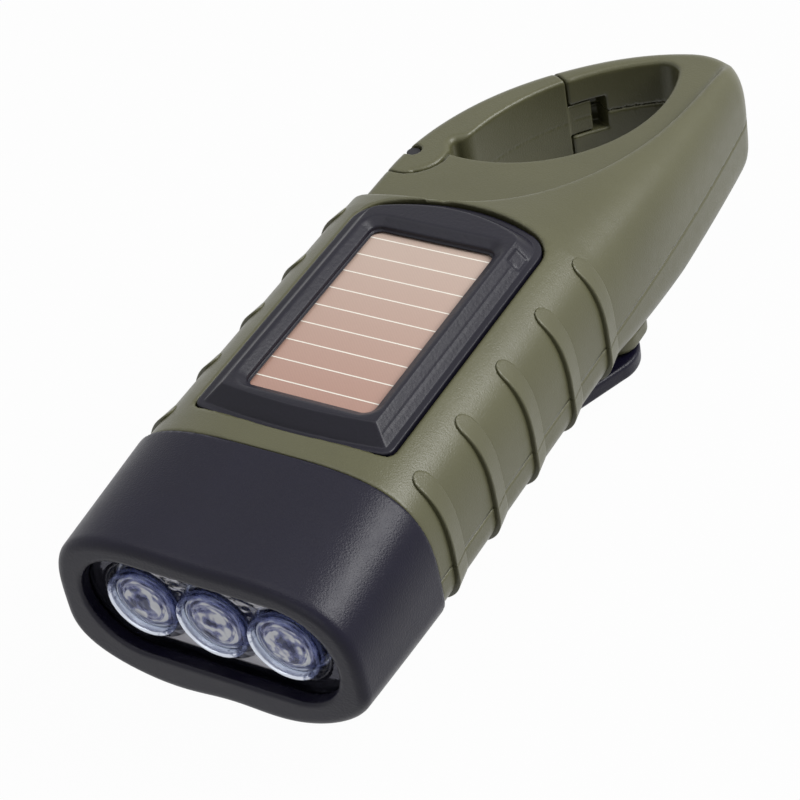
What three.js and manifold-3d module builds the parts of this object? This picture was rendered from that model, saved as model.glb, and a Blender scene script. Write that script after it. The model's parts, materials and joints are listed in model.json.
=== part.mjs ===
// Hand crank flashlight with a solar panel, three LEDs and a carabiner tail.
// Units are millimetres and +Z is up, out of the solar panel.
// The head looks along -Y, the carabiner is at +Y, and its gate is on the -X side.
// Heights are measured from the parting plane of the two shells, and lengths from
// the seam between the black head and the green body. The last group moves all of
// it so that the origin is at the bottom centre of the whole flashlight.

import * as THREE from 'three';
import { mergeVertices } from 'three/addons/utils/BufferGeometryUtils.js';
import Module from 'manifold-3d';

const wasm = await Module();
wasm.setup();

// Body envelope
const halfWidth = 25.3;
const crownHeight = 20.1;
const keelDepth = 9.4;
const crownPower = 3.5;
const keelPower = 2.4;
const tailPower = 4.2;
const tailPowerStart = 60;
const tailPowerLength = 25;
const partingHeight = 2;
const headLength = 22;
const crownStraight = 57;
const crownFallShare = 0.106;
const gateSideStart = 76;
const gateSideRadius = 48.9;
const spineSideStart = 60;
const spineSideRadius = 540;
const tipRadius = 10;
const crownEndInset = [3.61, 1.32];
const wall = 1.8;
const facetHeight = 10.6;
const overrun = 5;
const clearance = 0.3;

// Shoulder between the solar panel and the flat top of the carabiner
const shoulderAlong = 111;
const shoulderSide = 6.9;
const shoulderWidth = 31.4;
const shoulderGap = 4.7;
const shoulderPower = 2.7;
const shoulderRise = 9;
const shoulderSteps = 14;

// Carabiner loop and gate
const gateDepth = 9.3;
const loopGateAlong = 82.6;
const loopGateRadius = 38.8;
const spineDepth = 13.5;
const loopSpineAlong = 107.6;
const loopSpineRadius = 24.8;
const loopCornerRadius = 3.5;
const pivotInset = 2.4;
const pivotAlong = 82;
const knuckleRadius = 6.3;
const gateReach = 30;
const gateSwing = 32;
const gateTongueHalf = 3;
const gateTongueLength = 4.2;
const gateTongueRun = 2.6;
const springRoom = 3.3;
const noseSkin = 1.2;
const pinRadius = 1.2;
const pinRecess = 0.6;
const pinLow = -6.4;
const hingeLugRadius = 4.6;
const springWire = 0.5;
const springRadius = 1.8;
const slotMargin = 0.5;

// Grip ribs
const ribCount = 5;
const ribFirst = 5.8;
const ribPitch = 12.67;
const ribWidth = 3.6;
const ribHeight = 0.9;
const ribCrownShare = 0.4;
const ribTailShare = 0.1;
const ribStart = 20.4;

// Head
const headSeamSide = 0.6;
const headSeamRise = 0.2;
const headSeamDrop = 0.4;
const headFaceSide = 0.2;
const headFaceFall = 3;
const headFaceDrop = 1.4;
const headEdge = 1.3;
const faceWall = 2.4;
const spigotLength = 6;
const spigotWall = 1.5;
const ledPitch = 11.95;
const cupRadius = 5.6;
const cupThroat = 2.9;
const cupDepth = 7.2;
const cupProfileShares = [[1, 0], [0.93, 0.2], [0.78, 0.55]];
const lensWall = 1.2;
const lensRingRise = 1.6;
const lensRingWall = 0.6;
const windowHalfHeight = 9.2;
const windowMargin = 4;
const lensLap = 1.1;
const flangeWall = 1.2;
const ledRadius = 2.5;
const ledLength = 6.4;
const ledFlangeRadius = 2.9;
const ledFlange = 1;
const boardWall = 1.2;
const beamHeight = 4.1;

// Solar panel
const cellWidth = 21;
const cellLength = 38.7;
const cellInset = 5.55;
const cellWall = 1;
const cellTop = 19.3;
const cellLap = 0.9;
const frameStart = 6;
const frameSide = 6.1;
const frameEnds = 10.9;
const frameBowNear = 1.2;
const frameBowFar = 4.8;
const frameNearCorner = 1.6;
const frameFarCorner = 3.2;
const frameCornerLeast = 0.5;
const frameRimTop = 18.9;
const frameRidgeTop = 21.5;
const frameBase = 16.2;
const frameRimWidth = 1.1;
const frameSlopeWidth = 2.5;
const windowSide = 1.5;
const windowNear = 2.1;
const windowFar = 1.9;
const frameLedgeWall = 0.5;
const seatWidth = 3.6;
const seatWall = 2;

// Crank
const crankAlong = 36.5;
const crankAngle = 27;
const armLength = 35;
const armTop = 10.9;
const armWall = 2.9;
const armTipRadius = 7;
const hubRadius = 10;
const hubCapRadius = 7.4;
const hubCapWall = 1.7;
const hubBossRadius = 12;
const hubBossHeight = 1;
const shaftRadius = 3;
const journalRadius = 2;
const crankScrewRadius = 2.7;
const crankScrewHead = 1.3;
const knobRadius = 3.3;
const knobLength = 19;
const knobBore = 1.6;
const knobDrop = 1.9;
const hingeDrop = 1.5;
const hingeKnuckle = 1.4;
const hingePinRadius = 0.7;
const swivelLength = 3.2;
const spindleRadius = 1.3;
const spindleHeadRadius = 2.2;
const spindleHeadWall = 1.2;

// Foot pad behind the crank
const padStart = 65.5;
const padLength = 11;
const padHalfWidth = 22.4;
const padHeight = 1;
const padCorner = 4;

// Gear train: module, teeth, face width
const gearClearance = 0.25;
const floorBoss = 0.7;
const crankGear = { module: 0.8, teeth: 30, wall: 2.4, base: -6.4 };
const firstPinion = { module: 0.8, teeth: 10, wall: 2.9, base: -6.6 };
const firstWheel = { module: 0.7, teeth: 28, wall: 1.8, base: -3.2 };
const secondPinion = { module: 0.7, teeth: 10, wall: 2.8, base: -3.5 };
const secondWheel = { module: 0.6, teeth: 24, wall: 1.8, base: -0.6 };
const rotorPinion = { module: 0.6, teeth: 10, wall: 2.6, base: -1 };
const firstMeshAngle = 122;
const secondMeshAngle = 12.3;
const rotorMeshAngle = 46.7;
const axleRadius = 1;
const collarRadius = 2.2;
const axleBossRadius = 2.4;

// Gearbox plate and generator
const plateBase = 2;
const plateWall = 1.4;
const postRadius = 2.3;
const plateScrewRadius = 0.9;
const plateScrewHead = 1.8;
const plateScrewHeadWall = 1;
const plateScrewLength = 6;
const postPlaces = [[-18, 33], [18, 33], [-6, 66.5]];
const magnetRadius = 5;
const magnetHeight = 5;
const magnetBase = 5.5;
const coreGap = 0.5;
const coreWidth = 3;
const coreWall = 2.2;
const coreBase = 6.5;
const coreReach = 21.5;
const bobbinRadius = 4;
const bobbinWall = 0.8;
const bobbinCore = 2.6;
const coilRadius = 3.6;

// Battery and electronics
const batteryRadius = 7.7;
const batteryWall = 6;
const batteryCount = 3;
const batteryAlong = 10.6;
const batteryHeight = 1.4;
const trayWall = 1.2;
const stripWall = 0.6;
const boardHalfWidth = 15.2;
const boardStart = 6;
const boardLength = 26;
const chipSize = [5, 4, 1.2];
const capacitorRadius = 2.5;
const capacitorHeight = 5.5;

// Power button
const buttonAlong = 12.6;
const buttonHalfLength = 4.4;
const buttonHalfHeight = 3.1;
const buttonProud = 1;
const buttonTravel = 0.6;
const buttonFlange = 1;
const buttonFlangeWall = 0.9;
const switchSize = [3.4, 6, 6];
const switchBoardWall = 1.2;
const switchBoardLength = 11;
const switchRib = 1.2;
const switchBoardBase = -5.3;
const switchCradleTop = -2;

// Case screws
const screwPlaces = [[-18.6, 24.5], [18.6, 24.5], [-14.5, 70], [15.5, 84]];
const screwRadius = 1.2;
const screwHeadRadius = 2.3;
const screwHeadWall = 1.5;
const screwRecess = 3.4;
const screwLength = 12;
const screwBossRadius = 2.8;

// Facets: how finely the round shapes are divided
const roundSteps = 16;
const sectionSteps = 6;
const arcSteps = 10;
const tipSteps = 3;
const cornerSteps = 3;
const domeSteps = 3;
const weldDistance = 1e-4;

// Panel sizes that follow from the cell
const cellStart = frameStart + cellInset;
const frameHalfWidth = cellWidth / 2 + frameSide;
const frameLength = cellLength + frameEnds;

// Colours
const olive = { color: 0x6e705a, roughness: 0.5, metalness: 0 };
const black = { color: 0x24242a, roughness: 0.55, metalness: 0 };
const frameBlack = { color: 0x2c2b33, roughness: 0.5, metalness: 0 };
const clear = { color: 0xe4ecf6, roughness: 0.05, metalness: 0, transparent: true, opacity: 0.35 };
const chrome = { color: 0xd8dbe2, roughness: 0.1, metalness: 1 };
const steel = { color: 0xb4b6ba, roughness: 0.3, metalness: 1 };
const nylon = { color: 0xeceadd, roughness: 0.5, metalness: 0 };
const brass = { color: 0xc9a14a, roughness: 0.35, metalness: 1 };
const copper = { color: 0xb86b3a, roughness: 0.35, metalness: 1 };
const boardGreen = { color: 0x2d6a3e, roughness: 0.5, metalness: 0 };
const cellTan = { color: 0xc8a594, roughness: 0.4, metalness: 0 };
const magnetGrey = { color: 0x5a5c60, roughness: 0.4, metalness: 0.6 };
const ledClear = { color: 0xf1f3fb, roughness: 0.05, metalness: 0, transparent: true, opacity: 0.6 };
const ledBoardWhite = { color: 0xe9e9e4, roughness: 0.5, metalness: 0 };

// Solids

const degrees = (angle) => THREE.MathUtils.degToRad(angle);

// Six times the volume inside a list of triangles, negative when they face inwards.
function signedVolume(positions, triangles) {
  const corner = (i) => new THREE.Vector3().fromArray(positions, 3 * triangles[i]);
  let sum = 0;
  for (let i = 0; i < triangles.length; i += 3) {
    sum += corner(i).dot(corner(i + 1).cross(corner(i + 2)));
  }
  return sum;
}

// A closed three.js geometry as a solid, without its empty triangles and facing outwards.
function solidOf(geometry) {
  const bare = geometry.clone();
  bare.deleteAttribute('normal');
  bare.deleteAttribute('uv');
  const merged = mergeVertices(bare, weldDistance);
  const positions = merged.attributes.position.array;
  const index = merged.index.array;
  const kept = [];
  for (let i = 0; i < index.length; i += 3) {
    const corners = [index[i], index[i + 1], index[i + 2]];
    if (new Set(corners).size === 3) kept.push(...corners);
  }
  if (signedVolume(positions, kept) < 0) kept.reverse();
  return new wasm.Manifold(new wasm.Mesh({
    numProp: 3,
    vertProperties: new Float32Array(positions),
    triVerts: new Uint32Array(kept),
  }));
}

function geometryOf(solid) {
  const mesh = solid.getMesh();
  const geometry = new THREE.BufferGeometry();
  geometry.setAttribute('position', new THREE.BufferAttribute(mesh.vertProperties, 3));
  geometry.setIndex(new THREE.BufferAttribute(mesh.triVerts, 1));
  geometry.computeVertexNormals();
  return geometry;
}

function piece(name, solid, finish) {
  const mesh = new THREE.Mesh(geometryOf(solid), new THREE.MeshStandardMaterial(finish));
  mesh.name = name;
  return mesh;
}

function joined(solids) {
  return solids.reduce((sum, solid) => sum.add(solid));
}

// A box between two opposite corners.
function boxBetween(low, high) {
  const size = high.map((value, i) => value - low[i]);
  const geometry = new THREE.BoxGeometry(...size);
  geometry.translate(...low.map((value, i) => value + size[i] / 2));
  return solidOf(geometry);
}

// A round bar along Z between two heights.
function rod(radius, low, high, x = 0, y = 0, steps = roundSteps) {
  const geometry = new THREE.CylinderGeometry(radius, radius, high - low, steps);
  geometry.rotateX(Math.PI / 2);
  geometry.translate(x, y, (low + high) / 2);
  return solidOf(geometry);
}

// A round bar along X or Y, by the rotation that turns Z onto that axis.
function rodAlong(axis, radius, from, to, across, height, steps = roundSteps) {
  const geometry = new THREE.CylinderGeometry(radius, radius, to - from, steps);
  if (axis === 'x') {
    geometry.rotateZ(Math.PI / 2);
    geometry.translate((from + to) / 2, across, height);
  } else {
    geometry.translate(across, (from + to) / 2, height);
  }
  return solidOf(geometry);
}

// A shape drawn out along Z from zero.
function extruded(shape, depth, steps) {
  return new THREE.ExtrudeGeometry(shape, { depth, bevelEnabled: false, curveSegments: steps });
}

// An upright prism on an outline in plan, given as [x, y] points.
function prism(points, low, high) {
  const shape = new THREE.Shape(points.map(([x, y]) => new THREE.Vector2(x, y)));
  const geometry = extruded(shape, high - low, 1);
  geometry.translate(0, 0, low);
  return solidOf(geometry);
}

// A solid of revolution about Z, from [radius, height] points.
function turned(points, steps = roundSteps) {
  const geometry = new THREE.LatheGeometry(points.map(([r, h]) => new THREE.Vector2(r, h)), steps);
  geometry.rotateX(Math.PI / 2);
  return solidOf(geometry);
}

// A skin through rings of equally many points, with flat ends where they aren't folded.
function lofted(rings, capFirst = true, capLast = true) {
  const count = rings[0].length;
  const positions = rings.flat(2);
  const index = [];
  for (let i = 0; i + 1 < rings.length; i += 1) {
    for (let j = 0; j < count; j += 1) {
      const next = (j + 1) % count;
      const a = i * count + j;
      const b = i * count + next;
      const c = (i + 1) * count + next;
      const d = (i + 1) * count + j;
      index.push(a, b, c, a, c, d);
    }
  }
  const last = (rings.length - 1) * count;
  for (let j = 1; j + 1 < count; j += 1) {
    if (capFirst) index.push(0, j + 1, j);
    if (capLast) index.push(last, last + j, last + j + 1);
  }
  const geometry = new THREE.BufferGeometry();
  geometry.setAttribute('position', new THREE.Float32BufferAttribute(positions, 3));
  geometry.setIndex(index);
  return solidOf(geometry);
}

// Outline of the body

// The upper or the lower crossing of two circles.
function circlesCross(first, firstRadius, second, secondRadius, upper = true) {
  const across = [second[0] - first[0], second[1] - first[1]];
  const gap = Math.hypot(...across);
  const along = (gap * gap + firstRadius ** 2 - secondRadius ** 2) / (2 * gap);
  const rise = Math.sqrt(firstRadius ** 2 - along ** 2);
  const unit = across.map((value) => value / gap);
  const crossing = (side) => [
    first[0] + unit[0] * along - side * unit[1] * rise,
    first[1] + unit[1] * along + side * unit[0] * rise,
  ];
  return unit[0] > 0 === upper ? crossing(1) : crossing(-1);
}

const gateSideCentre = [gateSideRadius - halfWidth, gateSideStart];
const spineSideCentre = [halfWidth - spineSideRadius, spineSideStart];
const tipCentre = circlesCross(
  gateSideCentre, gateSideRadius - tipRadius, spineSideCentre, spineSideRadius - tipRadius,
);
const bodyLength = tipCentre[1] + tipRadius;
const crownEnd = tipCentre.map((value, i) => value - crownEndInset[i]);
const gateJoinAngle = Math.atan2(tipCentre[1] - gateSideCentre[1], tipCentre[0] - gateSideCentre[0]);
const spineJoinAngle = Math.atan2(tipCentre[1] - spineSideCentre[1], tipCentre[0] - spineSideCentre[0]);
const tipMiddleAngle = (gateJoinAngle + spineJoinAngle) / 2;

function arcPoints(centre, radius, from, to, steps) {
  const points = [];
  for (let i = 0; i <= steps; i += 1) {
    const angle = from + ((to - from) * i) / steps;
    points.push([centre[0] + radius * Math.cos(angle), centre[1] + radius * Math.sin(angle)]);
  }
  return points;
}

// One side of the plan outline, from the seam to the middle of the tip.
function sideOutline(centre, radius, startAngle, joinAngle, side) {
  const straight = [0, crownStraight];
  return [
    ...straight.map((along) => [side * halfWidth, along]),
    ...arcPoints(centre, radius, startAngle, joinAngle, arcSteps),
    ...arcPoints(tipCentre, tipRadius, joinAngle, tipMiddleAngle, tipSteps).slice(1),
  ];
}

const spineSide = sideOutline(spineSideCentre, spineSideRadius, 0, spineJoinAngle, 1);
const gateSide = sideOutline(gateSideCentre, gateSideRadius, Math.PI, gateJoinAngle, -1);
const crownLine = spineSide.map(([, along], i) => {
  const curved = Math.min((i - 2) / arcSteps, 1);
  const start = (spineSideStart + gateSideStart) / 2;
  return i < 2 ? [0, along] : [crownEnd[0] * curved, start + (crownEnd[1] - start) * curved];
});

// Height of the crown at a place along the body.
function crownAt(along) {
  return crownHeight - crownFallShare * Math.max(along - crownStraight, 0);
}

// How square a section is at a place along the body: the tail is squarer.
function powerAt(along, bodyPower) {
  const share = Math.min(Math.max((along - tailPowerStart) / tailPowerLength, 0), 1);
  return bodyPower + (tailPower - bodyPower) * share;
}

// One rounded quarter of a section, from the side of the body to its middle line.
function quarter(side, middle, power, heightAt) {
  const points = [];
  for (let k = 0; k <= sectionSteps; k += 1) {
    const angle = ((Math.PI / 2) * k) / sectionSteps;
    const inShare = 1 - Math.cos(angle) ** (2 / power);
    const x = side[0] + (middle[0] - side[0]) * inShare;
    const y = side[1] + (middle[1] - side[1]) * inShare;
    points.push([x, y, heightAt(y) * Math.sin(angle) ** (2 / power)]);
  }
  return points;
}

// A closed section through a right and a left point, with the crown over a middle point.
function section(right, left, middle, crown, keel) {
  const above = powerAt(middle[1], crownPower);
  const below = powerAt(middle[1], keelPower);
  return [
    ...quarter(right, middle, above, crown).slice(0, -1),
    ...quarter(left, middle, above, crown).reverse().slice(0, -1),
    ...quarter(left, middle, below, keel).slice(0, -1),
    ...quarter(right, middle, below, keel).reverse().slice(0, -1),
  ];
}

function bodyEnvelope() {
  const keel = () => -keelDepth;
  const rings = spineSide.map((right, i) => section(right, gateSide[i], crownLine[i], crownAt, keel));
  return lofted(rings, true, false);
}

// A straight section of its own half width, crown and keel.
function plainRing(along, half, crown, keel) {
  return section([half, along], [-half, along], [0, along], () => crown, () => -keel);
}

// A section drawn in from the body's own.
function tubeRing(along, inset) {
  return plainRing(along, halfWidth - inset, crownAt(along) - inset, keelDepth - inset);
}

// A section drawn in from the black head, which is wider than the body at the seam and
// lower at its face.
function headRing(along, inset) {
  const share = -along / headLength;
  const between = (seam, face) => seam + (face - seam) * share - inset;
  return plainRing(
    along,
    between(halfWidth + headSeamSide, halfWidth + headFaceSide),
    between(crownHeight + headSeamRise, crownHeight - headFaceFall),
    between(keelDepth + headSeamDrop, keelDepth + headFaceDrop),
  );
}

function tube(inset, from, to) {
  const stops = [from, ...(from < crownStraight && to > crownStraight ? [crownStraight] : []), to];
  return lofted(stops.map((along) => tubeRing(along, inset)));
}

// The plan region of the flat carabiner top, grown towards the solar panel.
function shoulderRegion(grow) {
  const [centreX, centreY] = [halfWidth - shoulderSide - shoulderWidth, shoulderAlong];
  const width = shoulderWidth + grow;
  const length = shoulderAlong - frameStart - frameLength - shoulderGap + grow;
  const front = centreY - length;
  const reach = halfWidth + overrun + centreX;
  const points = [];
  for (let i = shoulderSteps / 2; i > 0; i -= 1) {
    const share = (2 * i) / shoulderSteps;
    points.push([centreX - reach * share, front + shoulderRise * share * share]);
  }
  for (let i = 0; i <= shoulderSteps; i += 1) {
    const angle = ((Math.PI / 2) * i) / shoulderSteps;
    const power = 2 / shoulderPower;
    points.push([
      centreX + width * Math.sin(angle) ** power,
      centreY - length * Math.cos(angle) ** power,
    ]);
  }
  points.push([centreX + width, bodyLength + overrun]);
  points.push([centreX - reach, bodyLength + overrun]);
  return points;
}

// Carabiner

const pivot = [-halfWidth + pivotInset, pivotAlong];
const loopGateCentre = [loopGateRadius - halfWidth + gateDepth, loopGateAlong];
const loopSpineCentre = [halfWidth - spineDepth - loopSpineRadius, loopSpineAlong];
const loopRoot = circlesCross(loopGateCentre, loopGateRadius, loopSpineCentre, loopSpineRadius, false);
const lugTop = partingHeight + gateTongueHalf;
const lugBase = partingHeight - gateTongueHalf;
const tooHigh = crownHeight + overrun;
const tooLow = -keelDepth - overrun;

function disc(centre, radius, low = tooLow, high = tooHigh, steps = 4 * arcSteps) {
  return rod(radius, low, high, centre[0], centre[1], steps);
}

// The open space inside the carabiner: where two discs overlap, with a rounded far corner.
function loopSpace() {
  const lens = disc(loopGateCentre, loopGateRadius).intersect(disc(loopSpineCentre, loopSpineRadius));
  const corner = circlesCross(
    loopGateCentre, loopGateRadius - loopCornerRadius,
    loopSpineCentre, loopSpineRadius - loopCornerRadius,
  );
  const far = circlesCross(loopGateCentre, loopGateRadius, loopSpineCentre, loopSpineRadius);
  const reach = 2 * loopCornerRadius;
  const block = boxBetween(
    [corner[0] - reach / 2, corner[1], tooLow], [far[0] + reach, far[1] + reach, tooHigh],
  );
  const round = disc(corner, loopCornerRadius, tooLow, tooHigh, 2 * arcSteps);
  return lens.subtract(block).add(lens.intersect(round));
}

// The sweep of plan that the gate fills, grown by a running gap.
function gateSpace(gap) {
  const inner = disc(loopGateCentre, loopGateRadius - gap);
  const band = disc(gateSideCentre, gateSideRadius + overrun).subtract(inner);
  const ahead = boxBetween([-2 * halfWidth, loopRoot[1], tooLow], [halfWidth, bodyLength, tooHigh]);
  const arm = band.intersect(disc(pivot, gateReach + gap)).intersect(ahead);
  return arm.add(disc(pivot, knuckleRadius + gap));
}

// The room that the gate leaves beside its knuckle, so that its root swings past the body.
function heelRoom() {
  const rise = loopRoot[1] - pivot[1] + clearance;
  const block = boxBetween([0, -gateReach, tooLow], [gateReach, rise, tooHigh]);
  return block.rotate([0, 0, gateSwing]).translate([pivot[0], pivot[1], 0])
    .subtract(disc(pivot, knuckleRadius));
}

// A ring piece round the gate's pivot, inside the nose: the tongue or its notch.
function tongueSpace(from, to, half, skin, inner) {
  const slab = disc(pivot, to, partingHeight - half, partingHeight + half);
  const sweep = slab.subtract(disc(pivot, from));
  const band = disc(gateSideCentre, gateSideRadius - skin).subtract(disc(loopGateCentre, inner));
  const ahead = boxBetween(
    [-halfWidth, pivot[1] + gateReach / 2, tooLow], [halfWidth, bodyLength, tooHigh],
  );
  return sweep.intersect(band).intersect(ahead);
}

function makeGate(body) {
  const slot = disc(pivot, knuckleRadius + slotMargin, lugBase - springRoom, lugTop + clearance);
  const bore = disc(pivot, pinRadius + clearance, tooLow, tooHigh, roundSteps);
  const tongue = tongueSpace(
    gateReach - slotMargin, gateReach + gateTongueLength, gateTongueHalf,
    noseSkin + 2 * clearance, loopGateRadius + clearance,
  );
  const space = gateSpace(0).subtract(heelRoom());
  const solid = body.intersect(space).subtract(slot).subtract(bore).add(tongue);
  return piece('carabiner_gate', solid, olive);
}

function makeGatePin() {
  const mesh = piece('gate_pin', rod(pinRadius, pinLow, facetHeight - pinRecess), steel);
  mesh.position.set(pivot[0], pivot[1], 0);
  return mesh;
}

function makeGateSpring() {
  const top = lugBase;
  const bottom = lugBase - springRoom;
  const solid = turned([
    [springRadius - springWire / 2, bottom],
    [springRadius + springWire / 2, bottom],
    [springRadius + springWire / 2, top],
    [springRadius - springWire / 2, top],
    [springRadius - springWire / 2, bottom],
  ]);
  const mesh = piece('gate_spring', solid, steel);
  mesh.position.set(pivot[0], pivot[1], 0);
  return mesh;
}

// The lug of the body that carries the gate's pin.
function hingeLug(body) {
  const eye = disc(pivot, hingeLugRadius, lugBase, lugTop, 2 * roundSteps);
  const root = boxBetween(
    [pivot[0] - hingeLugRadius, pivot[1] - knuckleRadius - wall, lugBase],
    [pivot[0] + hingeLugRadius, pivot[1], lugTop],
  );
  const bore = disc(pivot, pinRadius + clearance, tooLow, tooHigh, roundSteps);
  return body.intersect(eye.add(root)).subtract(bore);
}

// Shells

// One rib pair is a thin slice of a slightly larger body, fading out towards the tail.
function ribs() {
  const slices = [];
  for (let i = 0; i < ribCount; i += 1) {
    const near = ribFirst + i * ribPitch - ribWidth / 2;
    const ring = (along, rise) => plainRing(
      along, halfWidth + rise, crownAt(along) + rise * ribCrownShare, keelDepth + rise * ribCrownShare,
    );
    slices.push(lofted([
      ring(near, ribHeight),
      ring(near + ribWidth / 2, ribHeight),
      ring(near + ribWidth, ribHeight * ribTailShare),
    ]));
  }
  const middle = boxBetween([-ribStart, -overrun, tooLow], [ribStart, bodyLength, tooHigh]);
  return joined(slices).subtract(middle);
}

function cavity() {
  const end = pivot[1] - knuckleRadius - clearance - wall / 2;
  const room = tube(wall, -overrun, end);
  return room.subtract(prism(shoulderRegion(wall), facetHeight - wall, tooHigh));
}

function frameOutline(grow) {
  const side = frameHalfWidth + grow;
  const near = frameStart - grow;
  const far = frameStart + frameLength + grow;
  const tight = Math.max(frameNearCorner + grow, frameCornerLeast);
  const wide = Math.max(frameFarCorner + grow, frameCornerLeast);
  const farCorner = far + (2 * frameBowFar * wide) / side;
  const nearCorner = near - (2 * frameBowNear * tight) / side;
  const shape = new THREE.Shape();
  shape.moveTo(side, near + tight);
  shape.lineTo(side, far - wide);
  shape.quadraticCurveTo(side, far, side - wide, farCorner);
  shape.quadraticCurveTo(0, 2 * (far + frameBowFar) - farCorner, wide - side, farCorner);
  shape.quadraticCurveTo(-side, far, -side, far - wide);
  shape.lineTo(-side, near + tight);
  shape.quadraticCurveTo(-side, near, tight - side, nearCorner);
  shape.quadraticCurveTo(0, 2 * (near - frameBowNear) - nearCorner, side - tight, nearCorner);
  shape.quadraticCurveTo(side, near, side, near + tight);
  return shape.getPoints(cornerSteps).slice(1).map((point) => [point.x, point.y]);
}

function frameBlock(grow, low, high) {
  return prism(frameOutline(grow), low, high);
}

const seatTop = frameBase - clearance;
const seatBase = seatTop - seatWall;
const screwSeat = -keelDepth + screwRecess + screwHeadWall;

function spigot() {
  const between = (inset, from, to) => lofted([headRing(from, inset), headRing(to, inset)]);
  const outer = between(wall + clearance, -spigotLength, 0);
  const root = tube(wall / 2, 0, wall);
  const inner = between(wall + clearance + spigotWall, -spigotLength - overrun, wall + overrun);
  return outer.add(root).subtract(inner);
}

// The opening for the power button, with a flat seat for its flange inside the wall.
function buttonHole() {
  const inner = -halfWidth + wall;
  const through = buttonBar(-halfWidth - overrun, inner + overrun, clearance);
  return through.add(buttonBar(inner, inner + overrun, buttonFlange + clearance));
}

// An oval bar along X, the shape of the power button.
function buttonBar(from, to, grow) {
  const shape = new THREE.Shape();
  shape.absellipse(0, 0, buttonHalfHeight + grow, buttonHalfLength + grow, 0, 2 * Math.PI);
  const geometry = extruded(shape, to - from, roundSteps);
  geometry.rotateY(Math.PI / 2);
  geometry.translate(from, buttonAlong, partingHeight);
  return solidOf(geometry);
}

function screwBosses(body, low, high) {
  const columns = screwPlaces.map(([x, y]) => rod(screwBossRadius, low, high, x, y));
  return joined(columns).intersect(body);
}

function makeTopShell(body, envelope) {
  const upper = boxBetween(
    [-2 * halfWidth, -2 * overrun, partingHeight], [2 * halfWidth, bodyLength + overrun, tooHigh],
  );
  const seat = frameBlock(seatWidth / 2, seatBase, seatTop).intersect(envelope);
  const window = frameBlock(-seatWidth / 2, seatBase - overrun, tooHigh);
  const pocket = frameBlock(clearance, seatTop, tooHigh);
  const threadRadius = screwRadius + clearance;
  const threads = screwPlaces.map(([x, y]) => rod(threadRadius, -overrun, screwSeat + screwLength, x, y));
  const solid = body.intersect(upper)
    .subtract(cavity())
    .add(screwBosses(body, partingHeight, crownHeight - wall))
    .add(seat)
    .subtract(window)
    .subtract(pocket)
    .add(spigot().intersect(upper))
    .subtract(gateSpace(clearance))
    .add(hingeLug(envelope).intersect(upper))
    .subtract(buttonHole())
    .subtract(joined(threads));
  return piece('top_shell', solid, olive);
}

function gearBoss(place, outer, bore, top) {
  const floor = -keelDepth + wall;
  const boss = rod(outer, floor - wall / 2, top, place[0], place[1]);
  return [boss, rod(bore, floor - wall / 2 - clearance, top + overrun, place[0], place[1], roundSteps / 2)];
}

function footPad() {
  const shape = new THREE.Shape();
  const side = padHalfWidth;
  const far = padStart + padLength;
  shape.moveTo(side, padStart + padCorner);
  shape.lineTo(side, far - padCorner);
  shape.quadraticCurveTo(side, far, side - padCorner, far);
  shape.lineTo(padCorner - side, far);
  shape.quadraticCurveTo(-side, far, -side, far - padCorner);
  shape.lineTo(-side, padStart + padCorner);
  shape.quadraticCurveTo(-side, padStart, padCorner - side, padStart);
  shape.lineTo(side - padCorner, padStart);
  shape.quadraticCurveTo(side, padStart, side, padStart + padCorner);
  const points = shape.getPoints(cornerSteps).slice(1).map((point) => [point.x, point.y]);
  return prism(points, -keelDepth - padHeight, -keelDepth + wall + padHeight);
}

function makeBottomShell(body, envelope) {
  const lower = boxBetween(
    [-2 * halfWidth, -2 * overrun, tooLow], [2 * halfWidth, bodyLength + overrun, partingHeight],
  );
  const floor = -keelDepth + wall;
  const bossTop = floor + floorBoss;
  const axleBore = axleRadius + clearance;
  const bosses = gearPlaces.map((place) => gearBoss(place, axleBossRadius, axleBore, bossTop));
  const postBore = plateScrewRadius + clearance;
  const posts = postPlaces.map((place) => gearBoss(place, postRadius, postBore, plateBase));
  const supports = [...bosses, ...posts];
  const innerBody = envelope.add(tube(wall, 0, gateSideStart));
  const heads = screwPlaces.map(([x, y]) => rod(screwHeadRadius + clearance, tooLow, screwSeat, x, y));
  const shanks = screwPlaces.map(([x, y]) => rod(screwRadius + clearance, tooLow, overrun, x, y));
  const pad = footPad().subtract(cavity());
  const hubBoss = rod(hubBossRadius, -keelDepth - hubBossHeight, floor, 0, crankAlong, 2 * roundSteps);
  const bearing = rod(shaftRadius + wall, floor - clearance, floor + floorBoss, 0, crankAlong);
  const bore = rod(shaftRadius + clearance, tooLow, overrun, 0, crankAlong);
  const built = body.intersect(lower)
    .subtract(cavity())
    .add(pad)
    .add(hubBoss)
    .add(bearing)
    .add(screwBosses(body, floor - wall / 2, partingHeight - clearance))
    .add(switchCradle().intersect(body))
    .add(joined(supports.map(([boss]) => boss)).intersect(innerBody))
    .add(spigot().intersect(lower));
  const solid = built
    .subtract(bore)
    .subtract(joined(supports.map(([, hole]) => hole)))
    .subtract(joined([...heads, ...shanks]))
    .subtract(gateSpace(clearance))
    .add(hingeLug(envelope).intersect(lower))
    .subtract(buttonHole());
  return piece('bottom_shell', solid, olive);
}

// Gear train

const pitchRadius = (gear) => (gear.module * gear.teeth) / 2;
const polar = (from, angle, distance) => [
  from[0] + distance * Math.cos(degrees(angle)),
  from[1] + distance * Math.sin(degrees(angle)),
];
const crankPlace = [0, crankAlong];
const firstPlace = polar(crankPlace, firstMeshAngle, pitchRadius(crankGear) + pitchRadius(firstPinion));
const secondPlace = polar(firstPlace, secondMeshAngle, pitchRadius(firstWheel) + pitchRadius(secondPinion));
const rotorPlace = polar(secondPlace, rotorMeshAngle, pitchRadius(secondWheel) + pitchRadius(rotorPinion));
const gearPlaces = [firstPlace, secondPlace, rotorPlace];

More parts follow.
